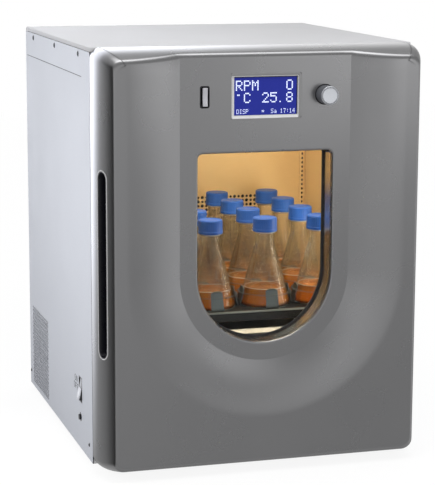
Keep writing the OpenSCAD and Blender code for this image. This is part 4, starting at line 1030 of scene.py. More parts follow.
# A white strip on the chamber's floor before the platform: painted light where the light through
# the window falls on the floor
walls_low, walls_high = size_mm("chamber_side_walls")
CHAMBER_FLOOR_Z = 240.0
LIGHT_STRIP_HW = -walls_low.x - 6
light_strip_side = [(4, CHAMBER_FLOOR_Z), (46, CHAMBER_FLOOR_Z), (46, CHAMBER_FLOOR_Z + 1.0), (6, CHAMBER_FLOOR_Z + 1.6), (4, CHAMBER_FLOOR_Z + 1.2)]
floor_light_strip = prism("chamber_floor_light", light_strip_side, -LIGHT_STRIP_HW, LIGHT_STRIP_HW, "x")
dress(floor_light_strip, FLOOR_LIGHT_WHITE, "cabinet", sharp=30)


# Flasks, caps, medium and clamps

flask_low, flask_high = size_mm("flasks")
cap_low, cap_high = size_mm("flask_caps")
platform_low, platform_high = size_mm("platform")
platform_mid, platform_half = mid_half(platform_low, platform_high)
FLASK_R = 52.5
FLASK_PITCH = (flask_high.x - flask_low.x - 2 * FLASK_R) / 3
PLATFORM_MID = platform_mid.y
PLATFORM_Z = platform_high.z
RIM = flask_high.z - flask_low.z
CAP_TOP = cap_high.z - flask_low.z
CAP_BOTTOM = cap_low.z - flask_low.z
NECK_R = 19
GLASS_T = 2
CONE_TOP = 128
MEDIUM_TOP = 36
FLASK_PLACES = [
    Vector(((i - 1.5) * FLASK_PITCH, (j - 1.5) * FLASK_PITCH, 0)) * MM
    for i in range(4)
    for j in range(4)
]
ORIGIN_FLASK = at(0, PLATFORM_MID, flask_low.z)
flask_profile = soft_path(
    [
        (0, 0.9), (38, 0.6), (54.0, 0), (NECK_R, CONE_TOP), (NECK_R, RIM),
        (NECK_R - GLASS_T, RIM), (NECK_R - GLASS_T, CONE_TOP + 0.4), (51.4, GLASS_T + 0.4),
        (0, GLASS_T + 0.6),
    ],
    [30, 7, 26, 0.9, 0.9, 28, 5.5],
    6,
)
flask_set = repeat("flask_set", lathe("flask", flask_profile, ORIGIN_FLASK), FLASK_PLACES)
dress(flask_set, GLASS, "platform", ["flasks"])

MEDIUM_BASE = GLASS_T + 0.8
MENISCUS = 1.3
medium_profile = soft_path(
    [
        (0, MEDIUM_BASE), (51.0, MEDIUM_BASE), (41.9, MEDIUM_TOP),
        (39.4, MEDIUM_TOP - MENISCUS), (0, MEDIUM_TOP - MENISCUS),
    ],
    [5.5, 0.5, 2.2],
)
medium_set = repeat("medium_set", lathe("medium", medium_profile, ORIGIN_FLASK), FLASK_PLACES)
dress(medium_set, MEDIUM, "platform", ["culture_medium"])

CAP_RIBS = 40
CAP_R = (cap_high.x - cap_low.x - 3 * FLASK_PITCH) / 2
CAP_BORE = NECK_R + 0.35
SKIRT = CAP_BOTTOM + 5
cap_outline = [(0, RIM + 0.15), (CAP_BORE, RIM + 0.15)]
cap_outline += soft_path(
    [
        (CAP_BORE, CAP_BOTTOM), (CAP_R, CAP_BOTTOM), (CAP_R, SKIRT), (CAP_R - 0.6, SKIRT + 0.6),
        (CAP_R - 0.6, CAP_TOP), (CAP_R - 5.0, CAP_TOP), (CAP_R - 6.0, CAP_TOP - 0.7),
        (0, CAP_TOP - 0.7),
    ],
    [0.5, 0.3, 0.3, 3.2, 0.4, 0.4],
    4,
)
cap_profile = [
    (r, h, 0.55 if SKIRT + 1 < h < CAP_TOP - 2.5 and r > CAP_R - 1 else 0)
    for r, h in cap_outline
]
cap = ribbed("cap", cap_profile, ORIGIN_FLASK, CAP_RIBS)
sharpen(cap, 35)
cap_set = repeat("cap_set", cap, FLASK_PLACES)
dress(cap_set, CAP_BLUE, "platform", ["flask_caps"])

# Round beads of glass under the cap, and a ring where the medium meets its flask, in a pale glass
# that paints their highlights
for bead_name, r, z, half_w, half_h in (
    ("neck_bead", NECK_R + 0.5, CAP_BOTTOM - 2.4, 1.5, 1.3),
    ("medium_edge", 41.0, MEDIUM_TOP + 0.6, 0.9, 0.7),
):
    bead_profile = [(r + half_w * c, z + half_h * s) for c, s in arc(0, 0, 1, 0, 360, 10)]
    bead = lathe(bead_name, bead_profile, ORIGIN_FLASK)
    dress(repeat(bead_name + "s", bead, FLASK_PLACES), PALE_BEAD_GLASS, "platform")

LEG_W = 26
LEG_H = 40
LEG_R = FLASK_R + 0.8
LEG_LEAN = LEG_R - 7.3
CLAMP_T = 1.5
KNEE = 6
RING_Z = 0.7 * LEG_H
RING_SIDE = LEG_R + CLAMP_T - (LEG_R - LEG_LEAN) * (RING_Z - KNEE) / (LEG_H - KNEE)
RING_R = math.hypot(RING_SIDE, LEG_W / 2) + 1.7
COIL_R = 1.45
COIL_WIRE = 0.35
COIL_TURNS = 84
CLAMP_FOOT = at(0, PLATFORM_MID, PLATFORM_Z)


def clamp_leg(angle):
    """A leaf of sheet that rises from the clamp's base, leans in along the flask and ends round.
    The angle is its direction in degrees."""
    path = soft_path(
        [
            (LEG_R - 9, 0), (LEG_R + 0.2, 0), (LEG_R + 0.2, KNEE - 1), (LEG_LEAN, LEG_H - 4),
            (LEG_LEAN + 2, LEG_H),
        ],
        [2.5, 6, 5],
    )
    half = LEG_W / 2
    across = 8
    verts, faces = [], []
    turn = Matrix.Rotation(math.radians(angle), 3, "Z")
    for side in (0, CLAMP_T):
        for k, (r, z) in enumerate(path):
            a, b = path[max(k - 1, 0)], path[min(k + 1, len(path) - 1)]
            along = Vector((b[0] - a[0], b[1] - a[1])).normalized()
            left = max(0.0, half - max(0.0, 8 - (LEG_H - z)) ** 2 / 9)
            r, z = r + along.y * side, z - along.x * side + CLAMP_T
            for i in range(across + 1):
                y = left * (2 * i / across - 1)
                verts.append(CLAMP_FOOT + turn @ Vector((r, y, z)) * MM)
    n, rows = across + 1, len(path)
    shift = n * rows
    for k in range(rows - 1):
        for a in range(k * n, k * n + across):
            faces.append([a, a + 1, a + n + 1, a + n])
            faces.append([shift + a + n, shift + a + n + 1, shift + a + 1, shift + a])
    rim = [k * n for k in range(rows)] + [(rows - 1) * n + i for i in range(1, n)]
    rim += [k * n + across for k in range(rows - 2, -1, -1)] + list(range(across - 1, 0, -1))
    for a, b in zip(rim, rim[1:] + rim[:1]):
        faces.append([a, b, shift + b, shift + a])
    return mesh_object("leg", verts, faces)


def coil_ring():
    """The wire ring of a clamp: a fine coil bent into a circle."""
    steps, sides = COIL_TURNS * 10, 5
    centre = CLAMP_FOOT + Vector((0, 0, RING_Z)) * MM
    up = Vector((0, 0, 1))
    rings = []
    for i in range(steps):
        a = math.tau * i / steps
        turn = COIL_TURNS * a
        out = Vector((math.cos(a), math.sin(a), 0))
        normal = out * math.cos(turn) + up * math.sin(turn)
        rise = up * math.cos(turn) - out * math.sin(turn)
        tangent = Vector((-out.y, out.x, 0)) * RING_R / COIL_TURNS + rise * COIL_R
        other = tangent.normalized().cross(normal)
        middle = out * RING_R + normal * COIL_R
        spokes = [normal * c + other * s for c, s in circle(0, 0, 1, sides)]
        rings.append([centre + (middle + spoke * COIL_WIRE) * MM for spoke in spokes])
    return loft("coil", rings, endless=True)


base_profile = soft_path(
    [
        (0, 0), (LEG_R - 4, 0), (LEG_R - 4, CLAMP_T), (LEG_R - 12, CLAMP_T), (0, CLAMP_T),
    ],
    [0.3, 0.5, 0],
    3,
)
clamp_base = lathe("clamp_base", base_profile, CLAMP_FOOT)
legs = [clamp_leg(angle) for angle in (0, 90, 180, 270)]
clamp = join("clamp", [clamp_base, *legs, coil_ring()])
sharpen(clamp, 40)
clamp_set = repeat("clamp_set", clamp, FLASK_PLACES)
dress(clamp_set, CLAMP_STEEL, "platform", ["flask_clamps"])


# Controls

KNOB_FACE = -knob_low.y
KNOB_BACK = -knob_high.y
KNOB_BORE = SHAFT_R + 0.1
BORE_END = KNOB_FACE - 11.5
KNOB_RIBS = 48
knob_centre = at(KNOB_X, 0, CONTROL_Z)
knob_outline = [(0, BORE_END), (KNOB_BORE, BORE_END)]
knob_outline += soft_path(
    [
        (KNOB_BORE, KNOB_BACK), (KNOB_R - 0.9, KNOB_BACK), (KNOB_R, KNOB_BACK + 0.9),
        (KNOB_R, KNOB_FACE - 1.8), (KNOB_R - 1.6, KNOB_FACE - 0.2), (KNOB_R - 3.2, KNOB_FACE),
        (KNOB_R - 4.2, KNOB_FACE - 0.5), (0, KNOB_FACE - 0.9),
    ],
    [0.3, 0.5, 0.5, 0.8, 0.3, 0.6],
    4,
)
knob_profile = [
    (r, h, 0.4 if KNOB_BACK + 1.6 < h < KNOB_FACE - 2.2 and r > KNOB_R - 0.3 else 0)
    for r, h in knob_outline
]
knob = ribbed("knob_turned", knob_profile, knob_centre, KNOB_RIBS, "y")
dress(knob, KNOB_DARK, "knob", ["control_knob"], 30)
face_profile = soft_path(
    [
        (0, KNOB_FACE - 1.6), (KNOB_R - 0.6, KNOB_FACE - 1.6), (KNOB_R - 0.2, KNOB_FACE - 1.2),
        (KNOB_R - 2.0, KNOB_FACE - 0.1), (KNOB_R - 3.6, KNOB_FACE - 0.1),
        (KNOB_R - 4.4, KNOB_FACE - 0.4), (0, KNOB_FACE - 0.7),
    ],
    [0.1, 0.2, 0.6, 0.3, 0.4],
    4,
)
knob_face = lathe("knob_face", face_profile, knob_centre, "y", 96)
dress(knob_face, KNOB_SILVER, "knob", sharp=30)
# A black collar round the knob, a little proud of the panel: painted shade of the gap round the
# knob
ring_profile = [
    (SHAFT_R + 2, -3.9), (KNOB_R + 1.9, -3.9), (KNOB_R + 1.9, 0.2), (KNOB_R + 1.4, 0.5),
    (KNOB_R + 0.7, 0.2), (KNOB_R + 0.6, -3.4), (SHAFT_R + 2, -3.4), (SHAFT_R + 2, -3.9),
]
ring_profile = [(r, proud - PANEL_Y) for r, proud in ring_profile]
knob_shade_ring = lathe("knob_shade_ring", ring_profile, knob_centre, "y")
dress(knob_shade_ring, BLACK_TRIM_AND_SHADE, "door", sharp=40)


def frame_sweep(name, cx, profile):
    """A closed rectangular ring about a place on the panel from a closed profile of (half width,
    half height, radius, y), where two more values move a ring aside and up."""
    rings = []
    for hw, hh, r, y, *shift in profile:
        dx, dz = shift or (0, 0)
        outline = rounded(cx + dx, CONTROL_Z + dz, 2 * hw, 2 * hh, r, 5)
        rings.append([at(x, y, z) for x, z in outline])
    return loft(name, rings, endless=True)


def grown(grow, r, y, *shift):
    """A ring of a frame round the display, grown from the display's own size."""
    return (GLASS_HW + grow, GLASS_HH + grow, r, y, *shift)


WIDE, NARROW = 5.9, 1.6
LIP = (WIDE + NARROW) / 2
LIP_SHIFT = (-(WIDE - NARROW) / 2, -(WIDE - NARROW) / 2)
bezel = frame_sweep(
    "bezel",
    0,
    [
        grown(BEZEL_W, 5, PANEL_Y + 3),
        grown(BEZEL_W, 5, PANEL_Y - 0.2),
        grown(BEZEL_W - 0.3, 4.8, PANEL_Y - 0.5),
        grown(LIP + 0.6, 3.2, PANEL_Y - 0.5, *LIP_SHIFT),
        grown(LIP + 0.1, 3.0, PANEL_Y - 0.2, *LIP_SHIFT),
        grown(LIP, 3.0, PANEL_Y + 0.3, *LIP_SHIFT),
        grown(LIP, 3.0, PANEL_Y + 3, *LIP_SHIFT),
    ],
)
dress(bezel, BEZEL_GREY, "door", ["display_bezel"], 40)
# The bezel's lip, in a plastic lighter than the grey bezel and set down and to the left so it
# shows wide at the bottom and the left: painted light on the lit lower and left bevels
bezel_lip = frame_sweep(
    "bezel_lip",
    0,
    [
        grown(LIP + 0.1, 3.0, PANEL_Y + 2.8, *LIP_SHIFT),
        grown(LIP + 0.1, 3.0, PANEL_Y - 0.1, *LIP_SHIFT),
        grown(LIP - 0.6, 2.8, PANEL_Y - 0.2, *LIP_SHIFT),
        grown(0.9, 1.3, lcd_face - 0.6),
        grown(0.1, 1.0, lcd_face - 0.3),
        grown(0.1, 1.0, PANEL_Y + 2.8),
    ],
)
dress(bezel_lip, BEZEL_LIT_PLASTIC, "door", sharp=40)
# A black gasket round the display glass, shifted down and left by SHADE so it shows wider at the
# top and the right: painted shade of the recess's top and right walls
SHADE = 0.75
display_gasket_and_shade = frame_sweep(
    "display_gasket_and_shade",
    0,
    [
        grown(0.4, 1.2, lcd_face - 0.1),
        grown(0.4, 1.2, lcd_face - 1.0),
        grown(-SHADE, 0.8, lcd_face - 1.0, -SHADE, -SHADE),
        grown(-SHADE, 0.8, lcd_face - 0.1, -SHADE, -SHADE),
    ],
)
dress(display_gasket_and_shade, SLOT_DARK_AND_SHADE, "door", sharp=40)


# Switches: a paddle in a dark slot on the door, and a rocker in the cabinet's side

SLOT_DEPTH = 8
SLOT_RIM = 1.4
switch_hw, switch_hh = switch_half.x, switch_half.z
slot_profile = [
    (switch_hw - inset, switch_hh - inset, r, PANEL_Y + y)
    for inset, r, y in (
        (0, 4, SLOT_DEPTH + 2), (0, 4, -0.1), (0.3, 4.4, -0.4), (0.8, 5, -0.4),
        (SLOT_RIM, 5.5, 0.2), (SLOT_RIM, 5.5, SLOT_DEPTH),
    )
]
slot_profile += [(1.0, 1.0, 0.5, PANEL_Y + y) for y in (SLOT_DEPTH, SLOT_DEPTH + 2)]
slot = frame_sweep("switch_slot", switch_mid.x, slot_profile)
dress(slot, SLOT_DARK_AND_SHADE, "door", ["start_stop_housing"], 40)

paddle_low, paddle_high = size_mm("start_stop_rocker")
paddle_mid, paddle_half = mid_half(paddle_low, paddle_high)
paddle_hh = paddle_half.z
paddle_side = [
    (paddle_low.y + y, paddle_mid.z + z)
    for y, z in (
        (0.05, paddle_hh - 0.2), (1.3, paddle_hh * 0.5), (1.9, 0), (1.3, -paddle_hh * 0.5),
        (0.05, 0.2 - paddle_hh), (7, 1.2 - paddle_hh), (7, paddle_hh - 1.2),
    )
]
paddle_left = switch_mid.x - 0.42 * switch_hw
paddle_right = switch_mid.x + 0.6 * switch_hw
paddle = bevelled(prism("paddle", paddle_side, paddle_left, paddle_right, "x"), 1.1)
dress(paddle, PADDLE, "start_stop", ["start_stop_rocker"])

rocker_low, rocker_high = size_mm("power_rocker")
housing_low, housing_high = size_mm("power_switch_housing")
housing_mid, housing_half = mid_half(housing_low, housing_high)
POWER_TILT = math.radians(9)
TILT_COS, TILT_SIN = math.cos(POWER_TILT), math.sin(POWER_TILT)
POWER_TIP = 12
PIN_DEPTH = 9
ROCKER_GAP = 2.2
HOUSING_WALL = 2.8
rocker_hh = housing_half.z - HOUSING_WALL - POWER_TIP * TILT_SIN


def power_piece(name, points, bevel):
    """A piece of the power rocker from (distance behind its tip, height), turned about its pin."""
    outline = []
    for x, z in points:
        x -= POWER_TIP
        outline.append(
            (
                PIN_DEPTH - HALF_PANEL + x * TILT_COS + z * TILT_SIN,
                housing_mid.z - x * TILT_SIN + z * TILT_COS,
            )
        )
    ends = (rocker_low.y + ROCKER_GAP, rocker_high.y - ROCKER_GAP)
    return bevelled(prism(name, outline, *ends, "y"), bevel)


rocker_side = [
    (2.7, 0), (1.2, rocker_hh - 0.4), (11, rocker_hh - 0.4), (18, rocker_hh * 0.45),
    (18, -rocker_hh * 0.45), (11, 0.4 - rocker_hh), (1.2, 0.4 - rocker_hh),
]
rocker_body = power_piece("rocker_body", rocker_side, 0.5)
dress(rocker_body, BLACK_TRIM_AND_SHADE, "power_switch", ["power_rocker"])
# A grey plate on the rocker's lower half, which sticks out, with the pressed-in upper half left
# black: painted light on the lit half
plate_side = [
    (1.6, 0), (1.5, 1.4), (2.8, 1.4), (2.9, 0), (2.2, -rocker_hh * 0.5), (1.4, 0.1 - rocker_hh),
    (0.05, 0.1 - rocker_hh), (0.9, -rocker_hh * 0.5),
]
rocker_lit_plate = power_piece("rocker_lit_plate", plate_side, 0.35)
dress(rocker_lit_plate, ROCKER_LIT_GREY, "power_switch")

# Printed marks beside the rocker
MARK = (2.4, 1.8, 1.19, 1.04)
mark_rear = housing_high.y + 6 + 17 * MARK[0]
mark_top = housing_mid.z + 20
side_marks = lettering(
    "side_marks",
    [("ON", 7, 0, MARK), ("OFF", 0, 16, MARK)],
    lambda x, z: at(-HALF_PANEL - 0.06, mark_rear - x, mark_top - z),
)
dress(side_marks, MARK_DARK, "cabinet")


# Handle: a thin raised rim round the slot, on the curved side, in light grey: a painted highlight
# of the slot's rounded lip


def side_x(y):
    """Where the door's left side lies at a depth before the cabinet."""
    bow = arc_radius(BODY_T - SIDE_FLAT, SIDE_INSET)
    off = max(0.0, -y - DOOR_BACK - SIDE_FLAT)
    return -(HALF_W - (bow - math.sqrt(bow * bow - off * off)))


RIM_W = 2.6
RIM_RISE = 0.8
rim_profile = [
    (RIM_W / 2 * (1 - along) - 0.3, RIM_RISE * up) for along, up in arc(0, 0, 1, 0, 180, 8)
]
rim_profile += [(RIM_W - 0.5, -1.2), (-0.5, -1.2)]
rim_rings = []
for grow, proud in rim_profile:
    outline = stadium(*SLOT, SLOT_W + 2 * grow, SLOT_LEN + 2 * grow, 20)
    rim_rings.append([at(side_x(y) - proud, y, z) for y, z in outline])
dress(loft("handle_rim", rim_rings, endless=True), HANDLE_RIM_HIGHLIGHT, "door", sharp=50)


# Sheet pieces with rounded edges


def tub(name, hw, hd, cy, low, high, r, edge, wall, top, inner_r):
    """A sheet tub turned over: a rounded outer edge at the top, walls and a top of a thickness."""
    profile = [
        (hw - wall, hd - wall, inner_r, high - top),
        (hw - wall, hd - wall, inner_r, low),
        (hw, hd, r, low),
    ]
    for along, up in arc(0, 0, 1, 0, 90, 5):
        inset = edge * (1 - along)
        corner = max(0.5, r - inset)
        profile.append((hw - inset, hd - inset, corner, high - edge + edge * up))
    rings = []
    for half_w, half_d, corner, z in profile:
        outline = rounded(0, cy, 2 * half_w, 2 * half_d, corner, 5)
        rings.append([at(x, y, z) for x, y in outline])
    return loft(name, rings)


cover_low, cover_high = size_mm("top_cover")
cover_mid, cover_half = mid_half(cover_low, cover_high)
COVER_HW = cover_high.x
cover_reach = (COVER_HW, cover_half.y, cover_mid.y)
cover = tub("cover", *cover_reach, cover_low.z, cover_high.z, 4, 2.4, 2, 2, 2.2)
dress(cover, SHADED_COVER_PAINT, "cabinet", ["top_cover"], 40)

PLATFORM_HW = platform_half.x
TRAY_T = 4
tray_reach = (PLATFORM_HW, PLATFORM_HW, PLATFORM_MID)
tray = tub("tray", *tray_reach, platform_low.z, PLATFORM_Z, 6, 2.5, 3, TRAY_T, 3)
CORNER_HOLE_PITCH = 430
tray_holes = [
    prism(
        "tray_hole",
        circle(sx * reach, PLATFORM_MID + sy * reach, r, 24),
        PLATFORM_Z - TRAY_T - 1,
        PLATFORM_Z + 1,
        "z",
    )
    for reach, r in ((CORNER_HOLE_PITCH / 2, 2.75), (FLASK_PITCH, 4.1))
    for sx in (-1, 1)
    for sy in (-1, 1)
]
cut(tray, tray_holes)
dress(tray, PLATFORM_PAINT, "platform", ["platform"], 30)
# A grey rim round the tray's top edge, lighter than the black tray: a painted highlight of the
# edge
RIM_H = 3.2
tray_rings = []
for grow, z in (
    (0.25, -RIM_H), (0.35, -1.0), (0.0, 0.1), (-1.2, 0.25), (-2.2, 0.1), (-1.0, -1.4),
    (-0.6, -RIM_H),
):
    reach = 2 * (PLATFORM_HW + grow)
    outline = rounded(0, PLATFORM_MID, reach, reach, 6 + grow, 5)
    tray_rings.append([at(x, y, PLATFORM_Z + z) for x, y in outline])
tray_rim = loft("tray_rim", tray_rings, endless=True)
dress(tray_rim, TRAY_EDGE_HIGHLIGHT, "platform", sharp=40)

# A dark sheet behind the perforated wall: painted shade of the space behind it, seen through the
# holes
rear_y = size_mm("chamber_rear_wall")[0].y
SHADE_SHEET_HW = 196
SHADE_SHEET_FOOT, SHADE_SHEET_HEAD = CHAMBER_FLOOR_Z + 20, CHAMBER_FLOOR_Z + 206
shade_sheet_front = rectangle(-SHADE_SHEET_HW, SHADE_SHEET_FOOT, SHADE_SHEET_HW, SHADE_SHEET_HEAD)
shade_sheet = prism("plenum_shade_sheet", shade_sheet_front, rear_y + 1.7, rear_y + 2.2, "y")
dress(shade_sheet, SLOT_DARK_AND_SHADE, "cabinet")

# Slotted rails in the chamber's rear corners
RAIL_W = 12
RAIL_T = 3
RAIL_PITCH = 10
RAIL_FOOT = CHAMBER_FLOOR_Z + 12
FIRST_SLOT = 24
RAIL_HEADROOM = 30
rail_high = walls_high.z - RAIL_HEADROOM
slot_count = int((rail_high - CHAMBER_FLOOR_Z - FIRST_SLOT) / RAIL_PITCH)
for side, tag in ((-1, "left"), (1, "right")):
    middle = side * (walls_high.x - 3.5 - RAIL_W / 2)
    front = rectangle(middle - RAIL_W / 2, RAIL_FOOT, middle + RAIL_W / 2, rail_high)
    rail = prism("corner_rail_" + tag, front, rear_y - RAIL_T, rear_y - 0.05, "y")
    dress(bevelled(rail, 0.8), LINER, "cabinet")
    # The slots are dark marks on the rail's face: painted shade seen through them
    marks = []
    for i in range(slot_count):
        outline = rounded(middle, CHAMBER_FLOOR_Z + FIRST_SLOT + i * RAIL_PITCH, 3.6, 5.6, 1.5, 3)
        ends = (rear_y - RAIL_T - 0.1, rear_y - RAIL_T + 0.5)
        marks.append(prism("rail_slot", outline, *ends, "y"))
    dress(join("rail_slot_shades_" + tag, marks), SLOT_DARK_AND_SHADE, "cabinet", sharp=40)


# Panel screws

HEAD_RISE = 1.5
HEAD_T = 2.0
SCREW_LEN = 8
CROSS_DEPTH = 1.1
CROSS_SPAN = 1.2
CROSS_W = 0.24
TOP_SCREW_R, LOW_SCREW_R = 5.8, 4
TOP_SCREW_DROP = 10
LOW_SCREW_Z = 30


def side_screw(side, y, z, r):
    """A screw with a domed head and a cross recess in one of the side panels. The right side's
    heads sit in their holes, because the panel is the part's outermost face there."""
    centre = at(side * COVER_HW - (HEAD_RISE if side > 0 else 0), y, z)
    head = soft_path(
        [
            (0, -SCREW_LEN), (r * 0.45, -SCREW_LEN), (r * 0.45, -HEAD_T), (r, -HEAD_T),
            (r, 0.3), (r * 0.6, HEAD_RISE), (0, HEAD_RISE),
        ],
        [0.5, 0.2, 0.2, 0.4, r * 0.4],
        4,
    )
    screw = lathe("screw", head, Vector((0, 0, 0)), "x", 32)
    place = Matrix.Translation((-HEAD_RISE * MM, 0, 0))
    place @= Matrix.Diagonal((2 * CROSS_DEPTH, r * CROSS_SPAN, r * CROSS_W, 1))
    for angle in (0, 90):
        bm = bmesh.new()
        turned = Matrix.Rotation(math.radians(angle), 4, "X") @ place
        bmesh.ops.create_cube(bm, size=MM, matrix=turned)
        cut(screw, [new_object("bar", taken_mesh("bar", bm))])
    flip = Matrix.Rotation(math.pi, 4, "Z") if side > 0 else Matrix.Identity(4)
    screw.data.transform(Matrix.Translation(centre) @ flip)
    return screw


SIDE_H = size_mm("left_side_panel")[1].z
CABINET_D = cover_high.y
FIRST_SCREW, LAST_SCREW = 102, CABINET_D - 89
top_z, middle_screw = SIDE_H - TOP_SCREW_DROP, (13 + CABINET_D) / 2
screw_spots = [(y, top_z, TOP_SCREW_R) for y in (FIRST_SCREW, middle_screw, LAST_SCREW)]
screw_spots += [(y, LOW_SCREW_Z, LOW_SCREW_R) for y in (30, CABINET_D - 10)]
screws = [side_screw(side, *spot) for side in (-1, 1) for spot in screw_spots]
dress(join("screw_set", screws), SCREW, "cabinet", ["panel_screws"], 35)


# Stage, light and camera

FLOOR_HALF = 6.0
FLOOR_SHOWN = 0.92
FLOOR_ROUND = 0.66
WHITE_SHARE = 0.82
WHITE_LIFT = 1.08


def stage_floor():
    """A pale floor that runs into the white background and keeps the object's shadow. It is
    brighter for what the camera sees, also through glass, and left out of what metal mirrors."""
    h = FLOOR_HALF
    corners = [(-h, -h, 0), (h, -h, 0), (h, h, 0), (-h, h, 0)]
    floor = mesh_object("floor", corners, [[0, 1, 2, 3]], smooth=False, closed=False)
    material = bpy.data.materials.new("floor_white")
    material.use_nodes = True
    tree = material.node_tree
    tree.nodes.clear()
    path = node(tree, "LightPath").outputs
    rays = {"i0": path["Is Camera Ray"], "i1": path["Is Transmission Ray"]}
    seen = node(tree, "Math", operation="MAXIMUM", **rays).outputs[0]
    tones = {"i6": (*[FLOOR_ROUND] * 3, 1), "i7": (*[FLOOR_SHOWN] * 3, 1)}
    tone = node(tree, "Mix", data_type="RGBA", i0=seen, **tones)
    matte = node(tree, "BsdfDiffuse", Color=tone.outputs[2])
    glow = node(tree, "Emission", Strength=WHITE_LIFT)
    share = node(tree, "Math", operation="MULTIPLY", i0=seen, i1=WHITE_SHARE)
    lit = node(tree, "MixShader", i0=share.outputs[0], i1=matte.outputs[0], i2=glow.outputs[0])
    none = node(tree, "BsdfTransparent").outputs[0]
    whole = node(tree, "MixShader", i0=path["Is Glossy Ray"], i1=lit.outputs[0], i2=none)
    node(tree, "OutputMaterial", Surface=whole.outputs[0])
    floor.data.materials.append(material)


def direction(azimuth, elevation):
    """Unit vector towards an azimuth and elevation in degrees."""
    a, e = math.radians(azimuth), math.radians(elevation)
    return (math.cos(e) * math.cos(a), math.cos(e) * math.sin(a), math.sin(e))


# What the surfaces mirror: an even room whose level changes with the elevation, and soft cards
# in it, each as (azimuth, elevation, inner and outer half angle, level added or, below 0, taken,
# tint)
NEUTRAL = (1, 1, 1)
COOL = (0.93, 0.96, 1.05)
ROOM = [
    (-90, 0.55), (-45, 0.75), (-24, 0.52), (-14, 0.44), (-9, 0.54), (-4, 0.80), (4, 0.60),
    (16, 0.50), (34, 0.56), (90, 0.80),
]
CARDS = [
    (-28, -14, 8, 31, 0.62, NEUTRAL),
    (-112, 0, 6, 24, 0.30, NEUTRAL),
    (-86, -5, 4, 20, 0.28, NEUTRAL),
    (-86, 2, 7, 18, 0.13, NEUTRAL),
    (0, 90, 12, 34, 3.8, NEUTRAL),
    (73, 12, 6, 22, 0.8, NEUTRAL),
    (104, 16, 21, 34, 3.2, COOL),
    (-172, -6, 22, 46, -1.2, NEUTRAL),
]
MATTE_LEVEL = 0.66
WHITE = (1, 1, 1, 1)
DARKEST = (0.02, 0.02, 0.02)


def studio_world():
    """White where the camera looks past the object, soft cards where a surface mirrors the room,
    and an even light on everything else."""
    world = bpy.data.worlds.new("studio")
    bpy.context.scene.world = world
    world.use_nodes = True
    world.cycles.sampling_method = "NONE"
    tree = world.node_tree
    tree.nodes.clear()
    ray = node(tree, "TexCoord").outputs["Generated"]
    height = node(tree, "SeparateXYZ", i0=ray).outputs["Z"]
    share = node(tree, "MapRange", From_Min=-1, Value=height).outputs["Result"]
    ramp = node(tree, "ValToRGB", Fac=share)
    stops = ramp.color_ramp.elements
    for i, (elevation, tone) in enumerate(ROOM):
        place = (math.sin(math.radians(elevation)) + 1) / 2
        stop = stops[i] if i < 2 else stops.new(place)
        stop.position = place
        stop.color = (tone, tone, tone, 1)
    level = ramp.outputs["Color"]
    for azimuth, elevation, inner, outer, strength, tint in CARDS:
        aim = direction(azimuth, elevation)
        dot = node(tree, "VectorMath", operation="DOT_PRODUCT", i0=ray, i1=aim)
        card = node(
            tree,
            "MapRange",
            interpolation_type="SMOOTHSTEP",
            Value=dot.outputs["Value"],
            From_Min=math.cos(math.radians(outer)),
            From_Max=math.cos(math.radians(inner)),
            To_Max=strength,
        ).outputs["Result"]
        tinted = node(tree, "VectorMath", operation="SCALE", i0=tint, Scale=card).outputs[0]
        total = node(tree, "VectorMath", operation="ADD", i0=level, i1=tinted).outputs[0]
        kept = node(tree, "VectorMath", operation="MAXIMUM", i0=total, i1=DARKEST)
        level = kept.outputs[0]
    room = node(tree, "Background", Color=level)
    even = node(tree, "Background", Color=WHITE, Strength=MATTE_LEVEL)
    white = node(tree, "Background", Color=WHITE)
    path = node(tree, "LightPath").outputs
    rays = {"i0": path["Is Glossy Ray"], "i1": path["Is Transmission Ray"]}
    bounced = node(tree, "Math", operation="MAXIMUM", **rays).outputs[0]
    lit = node(tree, "MixShader", i0=bounced, i1=even.outputs[0], i2=room.outputs[0])
    camera_ray = path["Is Camera Ray"]
    whole = node(tree, "MixShader", i0=camera_ray, i1=lit.outputs[0], i2=white.outputs[0])
    node(tree, "OutputWorld", Surface=whole.outputs[0])


def area_light(name, place, target, size, power, color=NEUTRAL, mirrored=True):
    """A rectangular lamp that the camera doesn't see, and that only matte surfaces show unless it
    is mirrored."""
    light = bpy.data.lights.new(name, "AREA")
    light.shape = "RECTANGLE"
    light.size, light.size_y = size
    light.energy = power
    light.color = color
    obj = new_object(name, light)
    obj.location = place
    away = Vector(target) - Vector(place)
    obj.rotation_euler = away.to_track_quat("-Z", "Y").to_euler()
    obj.visible_camera = False
    obj.visible_glossy = mirrored


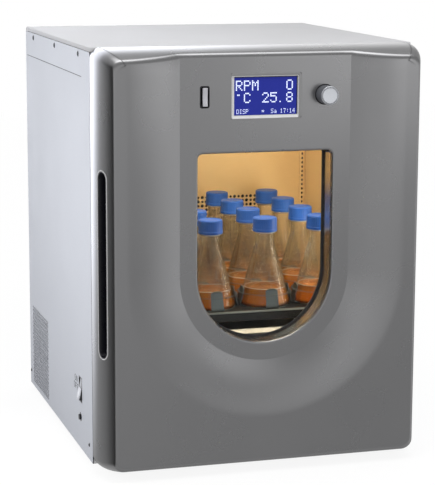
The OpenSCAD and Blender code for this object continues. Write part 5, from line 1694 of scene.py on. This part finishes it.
stage_floor()
studio_world()
area_light("key", (0.95, -1.85, 0.80), (0.95, 0, 0.80), (1.0, 0.6), 1.5)
area_light("above", (-0.1, -0.9, 1.7), (0, 0, 0.8), (0.9, 0.5), 5.8, mirrored=False)
area_light("side", (-0.95, -0.33, 0.48), (-0.33, 0, 0.42), (0.4, 0.4), 1.7, mirrored=False)
WARM = (1.0, 0.86, 0.62)
lamp_low, lamp_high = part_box("chamber_lamp")
mouth_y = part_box("chamber_floor")[0].y
ceiling_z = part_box("chamber_ceiling")[0].z
lamp_place = (0, lamp_high.y + 0.02, lamp_low.z - 0.01)
area_light("chamber_light", lamp_place, (0, lamp_high.y + 0.12, 0.3), (0.4, 0.1), 1.65, WARM)
front_place = (0, mouth_y + 0.06, ceiling_z - 0.02)
area_light("chamber_front", front_place, (0, mouth_y + 0.22, 0.35), (0.4, 0.05), 0.3, WARM)
strip_place, strip_aim = (0.255, mouth_y + 0.03, 0.42), (0.0, mouth_y + 0.2, 0.40)
area_light("chamber_strip", strip_place, strip_aim, (0.025, 0.28), 0.45, (1.0, 0.9, 0.72))

# The photograph's camera
CAMERA_PLACE = (-1.046, -3.5735, 1.071)
CAMERA_YAW = math.radians(16.436)
CAMERA_PITCH = math.radians(10.358)
CAMERA_ROLL = math.radians(0.222)
FOCAL_PIXELS = 1791
PHOTO_LONG_SIDE = 485
SENSOR = 36.0

camera_data = bpy.data.cameras.new("camera")
camera_data.sensor_width = SENSOR
camera_data.sensor_fit = "AUTO"
camera_data.lens = FOCAL_PIXELS / PHOTO_LONG_SIDE * SENSOR
camera_data.clip_end = 50
camera = new_object("camera", camera_data)
forward = Vector(direction(90 - math.degrees(CAMERA_YAW), -math.degrees(CAMERA_PITCH)))
level = Vector((math.cos(CAMERA_YAW), -math.sin(CAMERA_YAW), 0))
upward = level.cross(forward)
right = math.cos(CAMERA_ROLL) * level + math.sin(CAMERA_ROLL) * upward
up = -math.sin(CAMERA_ROLL) * level + math.cos(CAMERA_ROLL) * upward
turn = Matrix((right, up, -forward)).transposed().to_4x4()
camera.matrix_world = Matrix.Translation(CAMERA_PLACE) @ turn
bpy.context.scene.camera = camera
bpy.context.scene.view_settings.view_transform = "Standard"
